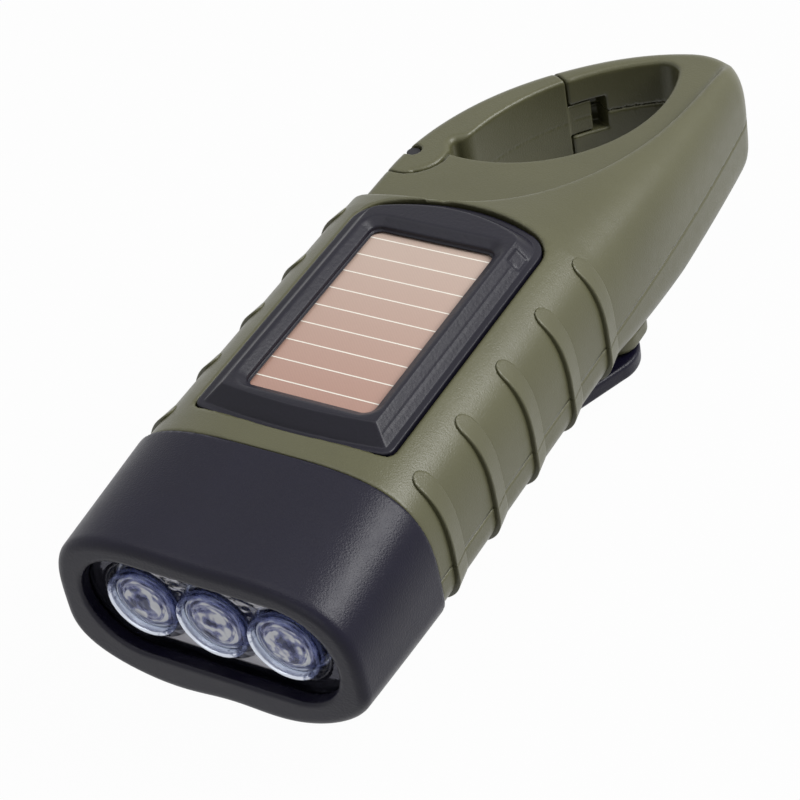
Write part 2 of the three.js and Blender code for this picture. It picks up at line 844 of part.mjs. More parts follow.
// Turn of a driven gear, as a share of its pitch, that sets its gaps on the driver's teeth.
function meshTurn(angle, driver, driverTurn, driven) {
  const driverPitch = (2 * Math.PI) / driver.teeth;
  const drivenPitch = (2 * Math.PI) / driven.teeth;
  const driverShare = (degrees(angle) - driverTurn) / driverPitch;
  return degrees(angle) + Math.PI - (1 / 2 - driverShare) * drivenPitch;
}

const firstTurn = meshTurn(firstMeshAngle, crankGear, 0, firstPinion);
const secondTurn = meshTurn(secondMeshAngle, firstWheel, firstTurn, secondPinion);
const rotorTurn = meshTurn(rotorMeshAngle, secondWheel, secondTurn, rotorPinion);

// Half widths of a tooth as shares of the pitch, and its reach as shares of the module.
const toothRootShare = 0.3;
const toothTipShare = 0.11;
const addendumShare = 0.8;
const dedendumShare = 1.1;

function gearSolid(gear, turn, bore) {
  const radius = pitchRadius(gear);
  const pitch = (2 * Math.PI) / gear.teeth;
  const root = radius - dedendumShare * gear.module;
  const tip = radius + addendumShare * gear.module;
  const flank = [
    [root, -toothRootShare], [tip, -toothTipShare], [tip, toothTipShare], [root, toothRootShare],
  ];
  const points = [];
  for (let tooth = 0; tooth < gear.teeth; tooth += 1) {
    flank.forEach(([reach, share]) => {
      const angle = turn + (tooth + share) * pitch;
      points.push([reach * Math.cos(angle), reach * Math.sin(angle)]);
    });
  }
  const blank = prism(points, gear.base, gear.base + gear.wall);
  return blank.subtract(rod(bore, tooLow, tooHigh));
}

function makeCrankGear() {
  return piece('crank_gear', gearSolid(crankGear, 0, shaftRadius + gearClearance), nylon);
}

function makeCompoundGear(name, pinion, wheel, turn) {
  const bore = axleRadius + gearClearance;
  const collar = rod(collarRadius, gearFloor, gearTop).subtract(rod(bore, tooLow, tooHigh));
  const solid = joined([gearSolid(pinion, turn, bore), gearSolid(wheel, turn, bore), collar]);
  return piece(name, solid, nylon);
}

const axleLow = -keelDepth + wall / 2;
const gearTop = plateBase - clearance;
const gearFloor = -keelDepth + wall + floorBoss + clearance;

function makeAxle(name) {
  return piece(name, rod(axleRadius, axleLow, plateBase + plateWall), steel);
}

function makeRotorPinion() {
  const pinion = gearSolid(rotorPinion, rotorTurn, axleRadius / 2);
  const shaft = rod(axleRadius, axleLow, magnetBase + magnetHeight);
  return piece('rotor_shaft', joined([pinion, shaft]), brass);
}

function makeMagnet() {
  const ring = rod(magnetRadius, magnetBase, magnetBase + magnetHeight, 0, 0, 2 * roundSteps);
  return piece('magnet_rotor', ring.subtract(rod(axleRadius + gearClearance, tooLow, tooHigh)), magnetGrey);
}

// Gearbox plate and generator

const coreBack = rotorPlace[1] - coreReach;
const bobbinHalf = magnetRadius + coreGap - clearance;

function makeGearboxPlate() {
  const [left, right, far] = postPlaces;
  const outline = [
    [left[0] - postRadius, left[1] - postRadius],
    [right[0] + postRadius, right[1] - postRadius],
    [right[0] + postRadius, rotorPlace[1] + magnetRadius],
    [far[0] + postRadius, far[1] + postRadius],
    [far[0] - postRadius, far[1] + postRadius],
    [left[0] - postRadius, rotorPlace[1] - magnetRadius],
  ];
  const top = plateBase + plateWall;
  const pads = [-1, 1].map((side) => {
    const x = rotorPlace[0] + side * (magnetRadius + coreGap + coreWidth / 2);
    return rod(coreWidth / 2, plateBase, coreBase - clearance, x, coreBack + coreWidth / 2, roundSteps / 2);
  });
  const holes = [
    rod(journalRadius + clearance, plateBase - overrun, top + overrun, 0, crankAlong),
    ...gearPlaces.map(([x, y]) => rod(axleRadius + clearance, plateBase - overrun, top + overrun, x, y)),
    ...postPlaces.map(([x, y]) => rod(plateScrewRadius + clearance, plateBase, top + overrun, x, y)),
  ];
  const room = tube(wall + clearance, 0, gateSideStart);
  const base = prism(outline, plateBase + clearance, top).intersect(room);
  return piece('gearbox_plate', base.add(joined(pads)).subtract(joined(holes)), nylon);
}

function makePlateScrew(name, [x, y]) {
  const top = plateBase + plateWall + clearance;
  const shank = rod(plateScrewRadius, top - plateScrewLength, top + clearance);
  const head = rod(plateScrewHead, top, top + plateScrewHeadWall);
  const mesh = piece(name, shank.add(head), steel);
  mesh.position.set(x, y, 0);
  return mesh;
}

function makeStatorCore() {
  const inner = magnetRadius + coreGap - coreWidth / 2;
  const outer = magnetRadius + coreGap + coreWidth;
  const low = -coreReach;
  const legs = [-1, 1].map((side) => {
    const near = side * inner;
    const far = side * outer;
    const back = side * (outer - coreWidth);
    const shoe = boxBetween(
      [Math.min(near, far), -magnetRadius / 2, coreBase],
      [Math.max(near, far), magnetRadius / 2, coreBase + coreWall],
    );
    const leg = boxBetween(
      [Math.min(back, far), low, coreBase],
      [Math.max(back, far), magnetRadius / 2, coreBase + coreWall],
    );
    return shoe.add(leg);
  });
  const bridge = boxBetween([-outer, low, coreBase], [outer, low + coreWidth, coreBase + coreWall]);
  const magnetRoom = rod(magnetRadius + coreGap, tooLow, tooHigh, 0, 0, 2 * roundSteps);
  const solid = joined([...legs, bridge]).subtract(magnetRoom);
  const mesh = piece('stator_core', solid, magnetGrey);
  mesh.position.set(rotorPlace[0], rotorPlace[1], 0);
  return mesh;
}

function makeBobbin() {
  const half = bobbinHalf;
  const flangeLeft = rodAlong('x', bobbinRadius, -half, -half + bobbinWall, 0, 0);
  const flangeRight = rodAlong('x', bobbinRadius, half - bobbinWall, half, 0, 0);
  const barrel = rodAlong('x', bobbinCore, -half, half, 0, 0);
  const hole = boxBetween(
    [-half - overrun, -coreWidth / 2 - clearance / 2, -coreWall / 2 - clearance / 2],
    [half + overrun, coreWidth / 2 + clearance / 2, coreWall / 2 + clearance / 2],
  );
  const mesh = piece('coil_bobbin', joined([flangeLeft, flangeRight, barrel]).subtract(hole), nylon);
  mesh.position.set(rotorPlace[0], coreBack + coreWidth / 2, coreBase + coreWall / 2);
  return mesh;
}

function makeCoil() {
  const half = bobbinHalf - bobbinWall - clearance;
  const hole = rodAlong('x', bobbinCore + clearance, -overrun, overrun, 0, 0);
  const ring = rodAlong('x', coilRadius, -half, half, 0, 0).subtract(hole);
  const mesh = piece('coil_winding', ring, copper);
  mesh.position.set(rotorPlace[0], coreBack + coreWidth / 2, coreBase + coreWall / 2);
  return mesh;
}

// Crank, in a frame at its axis with the arm along +Y

const armBase = armTop + armWall;
const hubBase = armBase + hubCapWall;
const hingeHeight = -armTop - hingeDrop;
const slotHalf = knobRadius + clearance;

function makeCrankArm() {
  const spread = Math.asin((hubRadius - armTipRadius) / armLength);
  const outline = [
    ...arcPoints([0, armLength], armTipRadius, spread, Math.PI - spread, arcSteps),
    ...arcPoints([0, 0], hubRadius, Math.PI - spread, 2 * Math.PI + spread, 2 * arcSteps),
  ];
  const slab = prism(outline, -armBase, -armTop);
  const cap = rod(hubCapRadius, -hubBase, -armTop, 0, 0, 2 * roundSteps);
  const slotStart = armLength - swivelLength - knobLength - clearance - spindleHeadWall / 2;
  const slot = boxBetween(
    [-slotHalf, slotStart, -armBase - overrun],
    [slotHalf, armLength + knobRadius + hingeKnuckle / 2, -armTop + overrun],
  );
  const socket = rod(shaftRadius + clearance, -armBase, -armTop + overrun);
  const screwHole = rod(crankScrewRadius + clearance, -hubBase - overrun, -armBase - clearance);
  const pinReach = armTipRadius - wall / 2;
  const pinHole = rodAlong(
    'x', hingePinRadius + clearance / 2, -pinReach, pinReach, armLength, hingeHeight, roundSteps / 2,
  );
  const shank = rod(journalRadius + clearance, -hubBase, -armTop);
  const solid = slab.add(cap).subtract(joined([slot, socket, screwHole, shank, pinHole]));
  return piece('crank_arm', solid, black);
}

function makeCrankShaft() {
  const top = plateBase + plateWall;
  const body = rod(shaftRadius, -armBase + clearance, plateBase - clearance);
  const journal = rod(journalRadius, -armTop, top);
  return piece('crank_shaft', body.add(journal), steel);
}

function makeCrankScrew() {
  const head = rod(crankScrewRadius, -hubBase, -hubBase + crankScrewHead);
  const shank = rod(journalRadius, -hubBase, -armBase);
  return piece('crank_screw', head.add(shank), steel);
}

function makeHingePin() {
  const half = armTipRadius - wall;
  const pin = rodAlong('x', hingePinRadius, -half, half, armLength, hingeHeight, roundSteps / 2);
  return piece('knob_hinge_pin', pin, steel);
}

// Folding knob, in a frame at its hinge with the knob folded back along -Y

function makeKnobSwivel() {
  const half = slotHalf - clearance;
  const knuckle = rodAlong('x', hingeKnuckle, -half, half, 0, 0);
  const low = -knobDrop - knobRadius / 2;
  const block = boxBetween([-half, -swivelLength, low], [half, 0, hingeKnuckle - clearance]);
  const foot = boxBetween([-half, -swivelLength, low], [half, hingeKnuckle / 2, 0]);
  const threadFrom = -swivelLength - knobLength;
  const spindle = rodAlong('y', spindleRadius, threadFrom + spindleHeadWall, 0, 0, -knobDrop);
  const hole = rodAlong('x', hingePinRadius + clearance / 2, -overrun, overrun, 0, 0, roundSteps / 2);
  const threadTo = threadFrom + knobLength / 2;
  const threadRadius = (spindleRadius + clearance) / 2;
  const thread = rodAlong('y', threadRadius, threadFrom, threadTo, 0, -knobDrop, roundSteps / 2);
  const solid = joined([knuckle, block, foot, spindle]).subtract(hole).subtract(thread);
  return piece('knob_swivel', solid, black);
}

function makeKnob() {
  const from = -swivelLength - knobLength;
  const to = -swivelLength - clearance;
  const grip = rodAlong('y', knobRadius, from, to, 0, 0);
  const waist = rodAlong('y', knobBore, from - overrun, to + overrun, 0, 0);
  const recess = rodAlong('y', spindleHeadRadius + clearance, from - overrun, from + spindleHeadWall, 0, 0);
  const mesh = piece('crank_knob', grip.subtract(waist).subtract(recess), black);
  mesh.position.set(0, 0, -knobDrop);
  return mesh;
}

function makeKnobScrew() {
  const from = -swivelLength - knobLength;
  const head = rodAlong('y', spindleHeadRadius, from, from + spindleHeadWall - clearance, 0, -knobDrop);
  const shank = rodAlong('y', spindleRadius / 2, from, from + knobLength / 3, 0, -knobDrop, roundSteps / 2);
  return piece('knob_screw', head.add(shank), steel);
}

// Head

const opticHalfWidth = ledPitch + cupRadius + windowMargin;
const lensFront = -headLength + faceWall + clearance;
const reflectorFront = lensFront + lensWall + clearance;
const opticBack = reflectorFront + cupDepth;

// A rounded bar along Y across the three LEDs, with straight top and bottom.
function opticBar(halfLong, halfHigh, from, to) {
  const shape = new THREE.Shape();
  const straight = halfLong - halfHigh;
  shape.moveTo(straight, -halfHigh);
  shape.absarc(straight, 0, halfHigh, -Math.PI / 2, Math.PI / 2);
  shape.absarc(-straight, 0, halfHigh, Math.PI / 2, (3 * Math.PI) / 2);
  const geometry = extruded(shape, to - from, arcSteps);
  geometry.rotateX(Math.PI / 2);
  geometry.translate(0, to, beamHeight);
  return solidOf(geometry);
}

function makeHeadBezel() {
  const front = -headLength;
  const rings = [
    headRing(front, headEdge),
    headRing(front + headEdge / 3, headEdge / 3),
    headRing(front + headEdge, 0),
    headRing(-clearance / 2, 0),
  ];
  const room = lofted([headRing(front + faceWall, wall), headRing(overrun, wall)]);
  const opening = opticBar(opticHalfWidth, windowHalfHeight, front - overrun, overrun);
  return piece('head_bezel', lofted(rings).subtract(room).subtract(opening), black);
}

// The clear window, with a raised ring in front of each cup.
function makeLens() {
  const halfHeight = windowHalfHeight + lensLap;
  const bar = opticBar(opticHalfWidth + lensLap, halfHeight, lensFront, lensFront + lensWall);
  const [inner, outer] = [cupRadius - lensRingWall / 2, cupRadius + lensRingWall / 2];
  const ring = turned([
    [inner, -lensRingRise],
    [outer, -lensRingRise],
    [outer, lensWall / 2],
    [inner, lensWall / 2],
    [inner, -lensRingRise],
  ]);
  const rings = [-1, 0, 1].map((side) => {
    return ring.rotate([-90, 0, 0]).translate([side * ledPitch, lensFront, beamHeight]);
  });
  return piece('lens_window', joined([bar, ...rings]), clear);
}

function cupBowl() {
  return turned([
    [0, -overrun],
    [cupRadius, -overrun],
    ...cupProfileShares.map(([across, along]) => [cupRadius * across, cupDepth * along]),
    [cupThroat + clearance, cupDepth - clearance],
    [cupThroat + clearance, cupDepth + overrun],
    [0, cupDepth + overrun],
  ]);
}

function makeReflector() {
  const inset = wall + clearance;
  const flangeBack = reflectorFront + flangeWall;
  const flange = lofted([headRing(reflectorFront, inset), headRing(flangeBack, inset)]);
  const block = opticBar(opticHalfWidth, windowHalfHeight - clearance, reflectorFront, opticBack);
  const cups = [-1, 0, 1].map((side) => {
    return cupBowl().rotate([-90, 0, 0]).translate([side * ledPitch, reflectorFront, beamHeight]);
  });
  return piece('reflector', flange.add(block).subtract(joined(cups)), chrome);
}

function makeLed(name, side) {
  const dome = arcPoints([0, ledLength - ledRadius], ledRadius, 0, Math.PI / 2, domeSteps);
  const solid = turned([
    [0, 0],
    [ledFlangeRadius, 0],
    [ledFlangeRadius, ledFlange],
    [ledRadius, ledFlange],
    ...dome.slice(0, -1),
    [0, ledLength],
  ]);
  const mesh = piece(name, solid, ledClear);
  mesh.rotation.x = Math.PI / 2;
  mesh.position.set(side * ledPitch, opticBack, beamHeight);
  return mesh;
}

function makeLedBoard() {
  const from = opticBack + clearance;
  const board = opticBar(opticHalfWidth, windowHalfHeight, from, from + boardWall);
  return piece('led_board', board, ledBoardWhite);
}

// Solar panel

function cellBlock(grow, low, high) {
  const half = cellWidth / 2 + grow;
  return boxBetween([-half, cellStart - grow, low], [half, cellStart + cellLength + grow, high]);
}

// A skin between two frame outlines at two heights, closed flat above and below.
function frameSlope(lowInset, low, highInset, high) {
  const ring = (inset, height) => frameOutline(-inset).map(([x, y]) => [x, y, height]);
  return lofted([ring(lowInset, low), ring(highInset, high)]);
}

function makeSolarFrame() {
  const rim = frameBlock(0, frameBase, frameRimTop);
  const slope = frameSlope(frameRimWidth, frameRimTop, frameRimWidth + frameSlopeWidth, frameRidgeTop);
  const windowHalf = cellWidth / 2 + windowSide;
  const ledge = cellTop + clearance + frameLedgeWall;
  const windowWall = boxBetween(
    [-windowHalf, cellStart - windowNear, ledge],
    [windowHalf, cellStart + cellLength + windowFar, tooHigh],
  );
  const under = cellBlock(cellLap + clearance, tooLow, cellTop + clearance);
  const sight = cellBlock(0, tooLow, tooHigh);
  const solid = rim.add(slope).subtract(windowWall).subtract(under).subtract(sight);
  return piece('solar_frame', solid, frameBlack);
}

function makeSolarCell() {
  return piece('solar_cell', cellBlock(cellLap, cellTop - cellWall, cellTop), cellTan);
}

// Battery and electronics

function makeBatteries() {
  const start = -(batteryCount * batteryWall) / 2;
  const cells = [];
  for (let i = 0; i < batteryCount; i += 1) {
    const from = start + i * batteryWall;
    const to = from + batteryWall - clearance;
    const mesh = piece(`battery_cell_${i + 1}`, rodAlong('x', batteryRadius, from, to, 0, 0), steel);
    mesh.position.set(0, batteryAlong, batteryHeight);
    cells.push(mesh);
  }
  return cells;
}

function makeBatteryTray() {
  const half = (batteryCount * batteryWall) / 2 + trayWall;
  const low = -keelDepth + wall + 3 * clearance;
  const block = boxBetween(
    [-half, batteryAlong - batteryRadius, low],
    [half, batteryAlong + batteryRadius, batteryHeight],
  );
  const room = half - trayWall + clearance;
  const bed = rodAlong('x', batteryRadius + clearance, -room, room, batteryAlong, batteryHeight);
  return piece('battery_tray', block.subtract(bed), black);
}

function makeBatteryStrip() {
  const half = (batteryCount * batteryWall) / 2;
  const low = batteryHeight + batteryRadius + clearance;
  const plate = boxBetween(
    [-half, batteryAlong - trayWall, low],
    [half, batteryAlong + trayWall, low + stripWall],
  );
  return piece('battery_strap', plate, steel);
}

const mainBoardTop = seatBase - clearance;

function makeMainBoard() {
  const board = boxBetween(
    [-boardHalfWidth, boardStart, mainBoardTop - boardWall],
    [boardHalfWidth, boardStart + boardLength, mainBoardTop],
  );
  return piece('main_board', board, boardGreen);
}

function makeChip() {
  const [width, length, height] = chipSize;
  const low = mainBoardTop + clearance;
  const chip = boxBetween([-width / 2, -length / 2, low], [width / 2, length / 2, low + height]);
  const mesh = piece('charge_chip', chip, black);
  mesh.position.set(-boardHalfWidth / 3, boardStart + boardLength / 2, 0);
  return mesh;
}

function makeCapacitor() {
  const top = mainBoardTop - boardWall - clearance;
  const mesh = piece('capacitor', rod(capacitorRadius, top - capacitorHeight, top), magnetGrey);
  mesh.position.set(boardHalfWidth / 2, boardStart + boardLength - 2 * capacitorRadius, 0);
  return mesh;
}

// Power button

const buttonInner = -halfWidth + wall + clearance;
const switchFace = buttonInner + buttonFlangeWall + clearance + buttonTravel + clearance;

function makeButton() {
  const cap = buttonBar(-halfWidth - buttonProud, buttonInner + buttonFlangeWall, 0);
  const flange = buttonBar(buttonInner, buttonInner + buttonFlangeWall, buttonFlange);
  return piece('power_button', cap.add(flange), black);
}

function makeSwitch() {
  const [deep, long, high] = switchSize;
  const body = boxBetween([switchFace, -long / 2, -high / 2], [switchFace + deep, long / 2, high / 2]);
  const mesh = piece('switch_body', body, black);
  mesh.position.set(0, buttonAlong, partingHeight);
  return mesh;
}

function switchBoardBlock(grow) {
  const near = switchFace + switchSize[0] - grow;
  const half = switchBoardLength / 2 + grow;
  return boxBetween(
    [near, buttonAlong - half, switchBoardBase - grow],
    [near + switchBoardWall + 2 * grow, buttonAlong + half, partingHeight + switchSize[2]],
  );
}

function makeSwitchBoard() {
  return piece('switch_board', switchBoardBlock(0), boardGreen);
}

// Two slotted ribs on the floor that hold the switch board upright.
function switchCradle() {
  const near = switchFace + switchSize[0] - switchRib;
  const far = near + switchBoardWall + 2 * switchRib;
  const ends = [-1, 1].map((side) => {
    const along = buttonAlong + (side * switchBoardLength) / 2;
    const low = -keelDepth + wall / 2;
    return boxBetween([near, along - switchRib, low], [far, along + switchRib, switchCradleTop]);
  });
  return joined(ends).subtract(switchBoardBlock(clearance / 2));
}

// Case screws

function makeCaseScrew(name, [x, y]) {
  const low = screwSeat - screwHeadWall;
  const head = rod(screwHeadRadius, low, screwSeat - clearance);
  const shank = rod(screwRadius, low, low + screwLength);
  const mesh = piece(name, head.add(shank), steel);
  mesh.position.set(x, y, 0);
  return mesh;
}

// Assembly

function placed(mesh, [x, y]) {
  mesh.position.set(x, y, 0);
  return mesh;
}

function crankGroup() {
  const crank = new THREE.Group();
  crank.position.set(0, crankAlong, 0);
  crank.rotation.z = -degrees(crankAngle);
  crank.add(makeCrankArm());
  crank.add(makeCrankShaft());
  crank.add(makeCrankScrew());
  crank.add(makeHingePin());
  const folding = new THREE.Group();
  folding.position.set(0, armLength, hingeHeight);
  folding.add(makeKnobSwivel());
  folding.add(makeKnob());
  folding.add(makeKnobScrew());
  crank.add(folding);
  return crank;
}

function gearGroup() {
  const gears = new THREE.Group();
  gears.add(placed(makeCrankGear(), crankPlace));
  gears.add(placed(makeCompoundGear('first_gear', firstPinion, firstWheel, firstTurn), firstPlace));
  gears.add(placed(makeCompoundGear('second_gear', secondPinion, secondWheel, secondTurn), secondPlace));
  gears.add(placed(makeAxle('first_axle'), firstPlace));
  gears.add(placed(makeAxle('second_axle'), secondPlace));
  gears.add(placed(makeRotorPinion(), rotorPlace));
  gears.add(placed(makeMagnet(), rotorPlace));
  return gears;
}

function flashlight() {
  const envelope = bodyEnvelope();
  const flatTop = prism(shoulderRegion(0), facetHeight, tooHigh);
  const body = envelope.add(ribs()).subtract(flatTop).subtract(loopSpace());
  const notch = tongueSpace(
    gateReach - slotMargin, gateReach + gateTongueLength + gateTongueRun,
    gateTongueHalf + clearance, noseSkin, loopGateRadius - overrun,
  );
  const shellBody = body.subtract(notch);
  const group = new THREE.Group();
  group.add(makeTopShell(shellBody, envelope));
  group.add(makeBottomShell(shellBody, envelope));
  group.add(makeGate(body));
  group.add(makeGatePin());
  group.add(makeGateSpring());
  group.add(makeHeadBezel());
  group.add(makeLens());
  group.add(makeReflector());
  group.add(makeLed('led_left', -1));
  group.add(makeLed('led_middle', 0));
  group.add(makeLed('led_right', 1));
  group.add(makeLedBoard());
  group.add(makeSolarFrame());
  group.add(makeSolarCell());
  group.add(crankGroup());
  group.add(gearGroup());
  group.add(makeGearboxPlate());
  postPlaces.forEach((place, i) => group.add(makePlateScrew(`plate_screw_${i + 1}`, place)));
  group.add(makeStatorCore());
  group.add(makeBobbin());
  group.add(makeCoil());
  makeBatteries().forEach((cell) => group.add(cell));
  group.add(makeBatteryTray());
  group.add(makeBatteryStrip());
  group.add(makeMainBoard());
  group.add(makeChip());
  group.add(makeCapacitor());
  group.add(makeButton());
  group.add(makeSwitch());
  group.add(makeSwitchBoard());
  screwPlaces.forEach((place, i) => group.add(makeCaseScrew(`case_screw_${i + 1}`, place)));
  return group;
}

const lowest = -hingeHeight + knobDrop + knobRadius;
const part = new THREE.Group();
const assembly = flashlight();
assembly.position.set(0, (headLength - bodyLength) / 2, lowest);
part.add(assembly);

export default part;
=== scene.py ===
"""Looks of a hand crank flashlight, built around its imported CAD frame.

Lengths in this file are millimetres measured as in the part's source: along the body
from the seam between the black head and the green shells, and up from the plane where
the body is widest. Every mesh is moved into the frame, in metres, when it is made.
"""

from __future__ import annotations

import json
import logging
import math
from dataclasses import dataclass
from enum import Enum
from typing import Callable, Sequence

import bpy
import numpy as np
from mathutils import Matrix, Vector

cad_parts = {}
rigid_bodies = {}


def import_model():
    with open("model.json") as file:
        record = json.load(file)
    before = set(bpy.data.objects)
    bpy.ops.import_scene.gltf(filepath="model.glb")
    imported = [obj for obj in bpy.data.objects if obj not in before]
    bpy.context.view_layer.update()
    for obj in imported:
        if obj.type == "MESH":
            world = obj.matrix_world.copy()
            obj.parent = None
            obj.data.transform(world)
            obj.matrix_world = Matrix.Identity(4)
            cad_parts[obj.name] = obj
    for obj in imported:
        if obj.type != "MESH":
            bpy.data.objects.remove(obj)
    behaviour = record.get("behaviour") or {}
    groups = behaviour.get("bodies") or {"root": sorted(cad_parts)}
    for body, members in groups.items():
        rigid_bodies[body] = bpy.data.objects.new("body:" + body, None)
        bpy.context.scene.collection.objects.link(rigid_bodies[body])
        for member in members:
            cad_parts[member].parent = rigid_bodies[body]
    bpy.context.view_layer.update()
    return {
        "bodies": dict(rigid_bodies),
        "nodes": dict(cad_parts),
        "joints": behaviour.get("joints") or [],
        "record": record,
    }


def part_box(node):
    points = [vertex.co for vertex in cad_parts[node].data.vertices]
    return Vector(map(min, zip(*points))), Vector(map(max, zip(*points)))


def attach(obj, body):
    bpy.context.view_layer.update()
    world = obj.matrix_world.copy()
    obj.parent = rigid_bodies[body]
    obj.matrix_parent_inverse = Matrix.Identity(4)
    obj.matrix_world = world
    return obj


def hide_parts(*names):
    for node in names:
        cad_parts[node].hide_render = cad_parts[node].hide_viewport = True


LOG = logging.getLogger("flashlight")
MM = 0.001
WHITE = (1.0, 1.0, 1.0, 1.0)

# The gate's pin in plan, the height where the shells meet, and that of the flat tail top
PIVOT = (-22.9, 82.0)
PARTING = 2.0
FACET = 10.6

# The crank's axis along the body, the turn of its folded arm, and the arm's upper face
CRANK_ALONG = 36.5
CRANK_TURN = math.radians(-27.0)
ARM_TOP = -10.9

# The lamps' distance from each other, and their height above the frame's zero
LAMP_PITCH = 11.95
LAMP_HEIGHT = 21.7

Points = np.ndarray
Plan = Callable[[Points, Points], Points]
Places = tuple[Points, Points, Points]
Field = Callable[[Places], Points]
Pair = tuple[float, float]
Outline = Sequence[Pair]
Colour = tuple[float, float, float]


# Fields: signed distances, negative inside


def blend_max(a: Points, b: Points, radius: float) -> Points:
    """Intersect two solids with a rounded edge.

    Args:
        a: Distances to the first solid.
        b: Distances to the second solid.
        radius: Radius of the edge.

    Returns:
        Distances to what both hold.
    """
    inner = np.minimum(np.maximum(a, b), -radius)
    outer = np.hypot(np.maximum(a + radius, 0.0), np.maximum(b + radius, 0.0))
    return inner + outer


def blend_min(a: Points, b: Points, radius: float) -> Points:
    """Join two solids with a fillet of the given radius."""
    return -blend_max(-a, -b, radius)


def between(value: Points, low: float, high: float) -> Points:
    """Distance outside a slab between two values."""
    return np.maximum(low - value, value - high)


def smooth_step(low: float, high: float, value: Points) -> Points:
    """Rise smoothly from 0 at low to 1 at high."""
    share = np.clip((value - low) / (high - low), 0.0, 1.0)
    return share * share * (3.0 - 2.0 * share)


def disc(x: Points, y: Points, centre: Pair, radius: float) -> Points:
    """Distance to a round column in plan."""
    return np.hypot(x - centre[0], y - centre[1]) - radius


def rounded_box(x: Points, y: Points, half_x: float, half_y: float, radius: float) -> Points:
    """Distance to a rectangle with round corners, centred on zero.

    Args:
        x: Places across the rectangle.
        y: Places along the rectangle.
        half_x: Half its width.
        half_y: Half its length.
        radius: Radius of its corners.

    Returns:
        The distances.
    """
    over_x = np.abs(x) - half_x + radius
    over_y = np.abs(y) - half_y + radius
    outside = np.hypot(np.maximum(over_x, 0.0), np.maximum(over_y, 0.0))
    return outside + np.minimum(np.maximum(over_x, over_y), 0.0) - radius


def arc(centre: Pair, radius: float, start: float, end: float, steps: int) -> list[Pair]:
    """Points along an arc, angles in radians."""
    angles = [start + (end - start) * i / steps for i in range(steps + 1)]
    return [(centre[0] + radius * math.cos(a), centre[1] + radius * math.sin(a)) for a in angles]


def upper_crossing(first: Pair, first_radius: float, second: Pair, second_radius: float) -> Pair:
    """The crossing of two circles that lies farther along the body.

    Args:
        first: Centre of the first circle.
        first_radius: Its radius.
        second: Centre of the second circle.
        second_radius: Its radius.

    Returns:
        The crossing's place in plan.
    """
    dx, dy = second[0] - first[0], second[1] - first[1]
    gap = math.hypot(dx, dy)
    along = (gap * gap + first_radius**2 - second_radius**2) / (2 * gap)
    rise = math.sqrt(first_radius**2 - along**2)
    crossings = [
        (first[0] + (dx * along - side * dy * rise) / gap, first[1] + (dy * along + side * dx * rise) / gap)
        for side in (-1, 1)
    ]
    return max(crossings, key=lambda point: point[1])


class PlanMap:
    """A distance in plan, worked out once on a grid and looked up between its points."""

    def __init__(self, values: Plan, low: Pair, high: Pair, step: float = 0.25) -> None:
        """Fill the grid from a function of plan positions.

        Args:
            values: The function of plan positions.
            low: Lowest corner of the grid.
            high: Highest corner of the grid.
            step: Distance between grid points.
        """
        self.low = low
        self.step = step
        xs = np.arange(low[0], high[0] + step, step)
        ys = np.arange(low[1], high[1] + step, step)
        self.grid = values(*np.meshgrid(xs, ys, indexing="ij"))

    def __call__(self, x: Points, y: Points) -> Points:
        """Look the distance up at plan positions.

        Args:
            x: Places across.
            y: Places along.

        Returns:
            The values there.
        """
        columns, rows = self.grid.shape
        u = np.clip((x - self.low[0]) / self.step, 0, columns - 1.001)
        v = np.clip((y - self.low[1]) / self.step, 0, rows - 1.001)
        i, j = u.astype(int), v.astype(int)
        u, v = u - i, v - j
        near = self.grid[i, j] * (1 - v) + self.grid[i, j + 1] * v
        far = self.grid[i + 1, j] * (1 - v) + self.grid[i + 1, j + 1] * v
        return near * (1 - u) + far * u


def line_distance(points: Outline, closed: bool) -> Plan:
    """Distance in plan to a chain of lines, signed where the chain is closed.

    Args:
        points: The corners of the chain.
        closed: Whether the last corner joins the first.

    Returns:
        A function of plan positions.
    """
    corners = np.array(points, float)
    ends = np.roll(corners, -1, axis=0) if closed else corners[1:]
    starts = corners if closed else corners[:-1]

    def measure(x: Points, y: Points) -> Points:
        """Distance from the chain at plan positions.

        Args:
            x: Places across.
            y: Places along.

        Returns:
            The distances there.
        """
        best = np.full(x.shape, np.inf)
        crossings = np.zeros(x.shape, bool)
        for (ax, ay), (bx, by) in zip(starts, ends):
            dx, dy = bx - ax, by - ay
            share = np.clip(((x - ax) * dx + (y - ay) * dy) / max(dx * dx + dy * dy, 1e-12), 0, 1)
            best = np.minimum(best, (x - ax - share * dx) ** 2 + (y - ay - share * dy) ** 2)
            if ay != by:
                crossings ^= ((ay > y) != (by > y)) & (x < dx * (y - ay) / dy + ax)
        return np.sqrt(best) * np.where(crossings, -1.0, 1.0) if closed else np.sqrt(best)

    return measure


# Meshes


@dataclass(frozen=True)
class Place:
    """Where millimetres of the part's source lie in the frame."""

    shift: Vector

    @classmethod
    def from_frame(cls) -> "Place":
        """Read the shift from the gate's pin, which stands at the pivot, and the arm.

        Returns:
            The place of the source in the frame.
        """
        low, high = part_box("gate_pin")
        middle = (low + high) / 2
        arm_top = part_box("crank_arm")[1].z
        return cls(Vector((middle.x - PIVOT[0] * MM, middle.y - PIVOT[1] * MM, arm_top - ARM_TOP * MM)))

    def matrix(self) -> Matrix:
        """The matrix from millimetres to the frame."""
        return Matrix.Translation(self.shift) @ Matrix.Scale(MM, 4)

    def point(self, x: float, y: float, z: float) -> Vector:
        """A point of the source, in the frame."""
        return self.matrix() @ Vector((x, y, z))


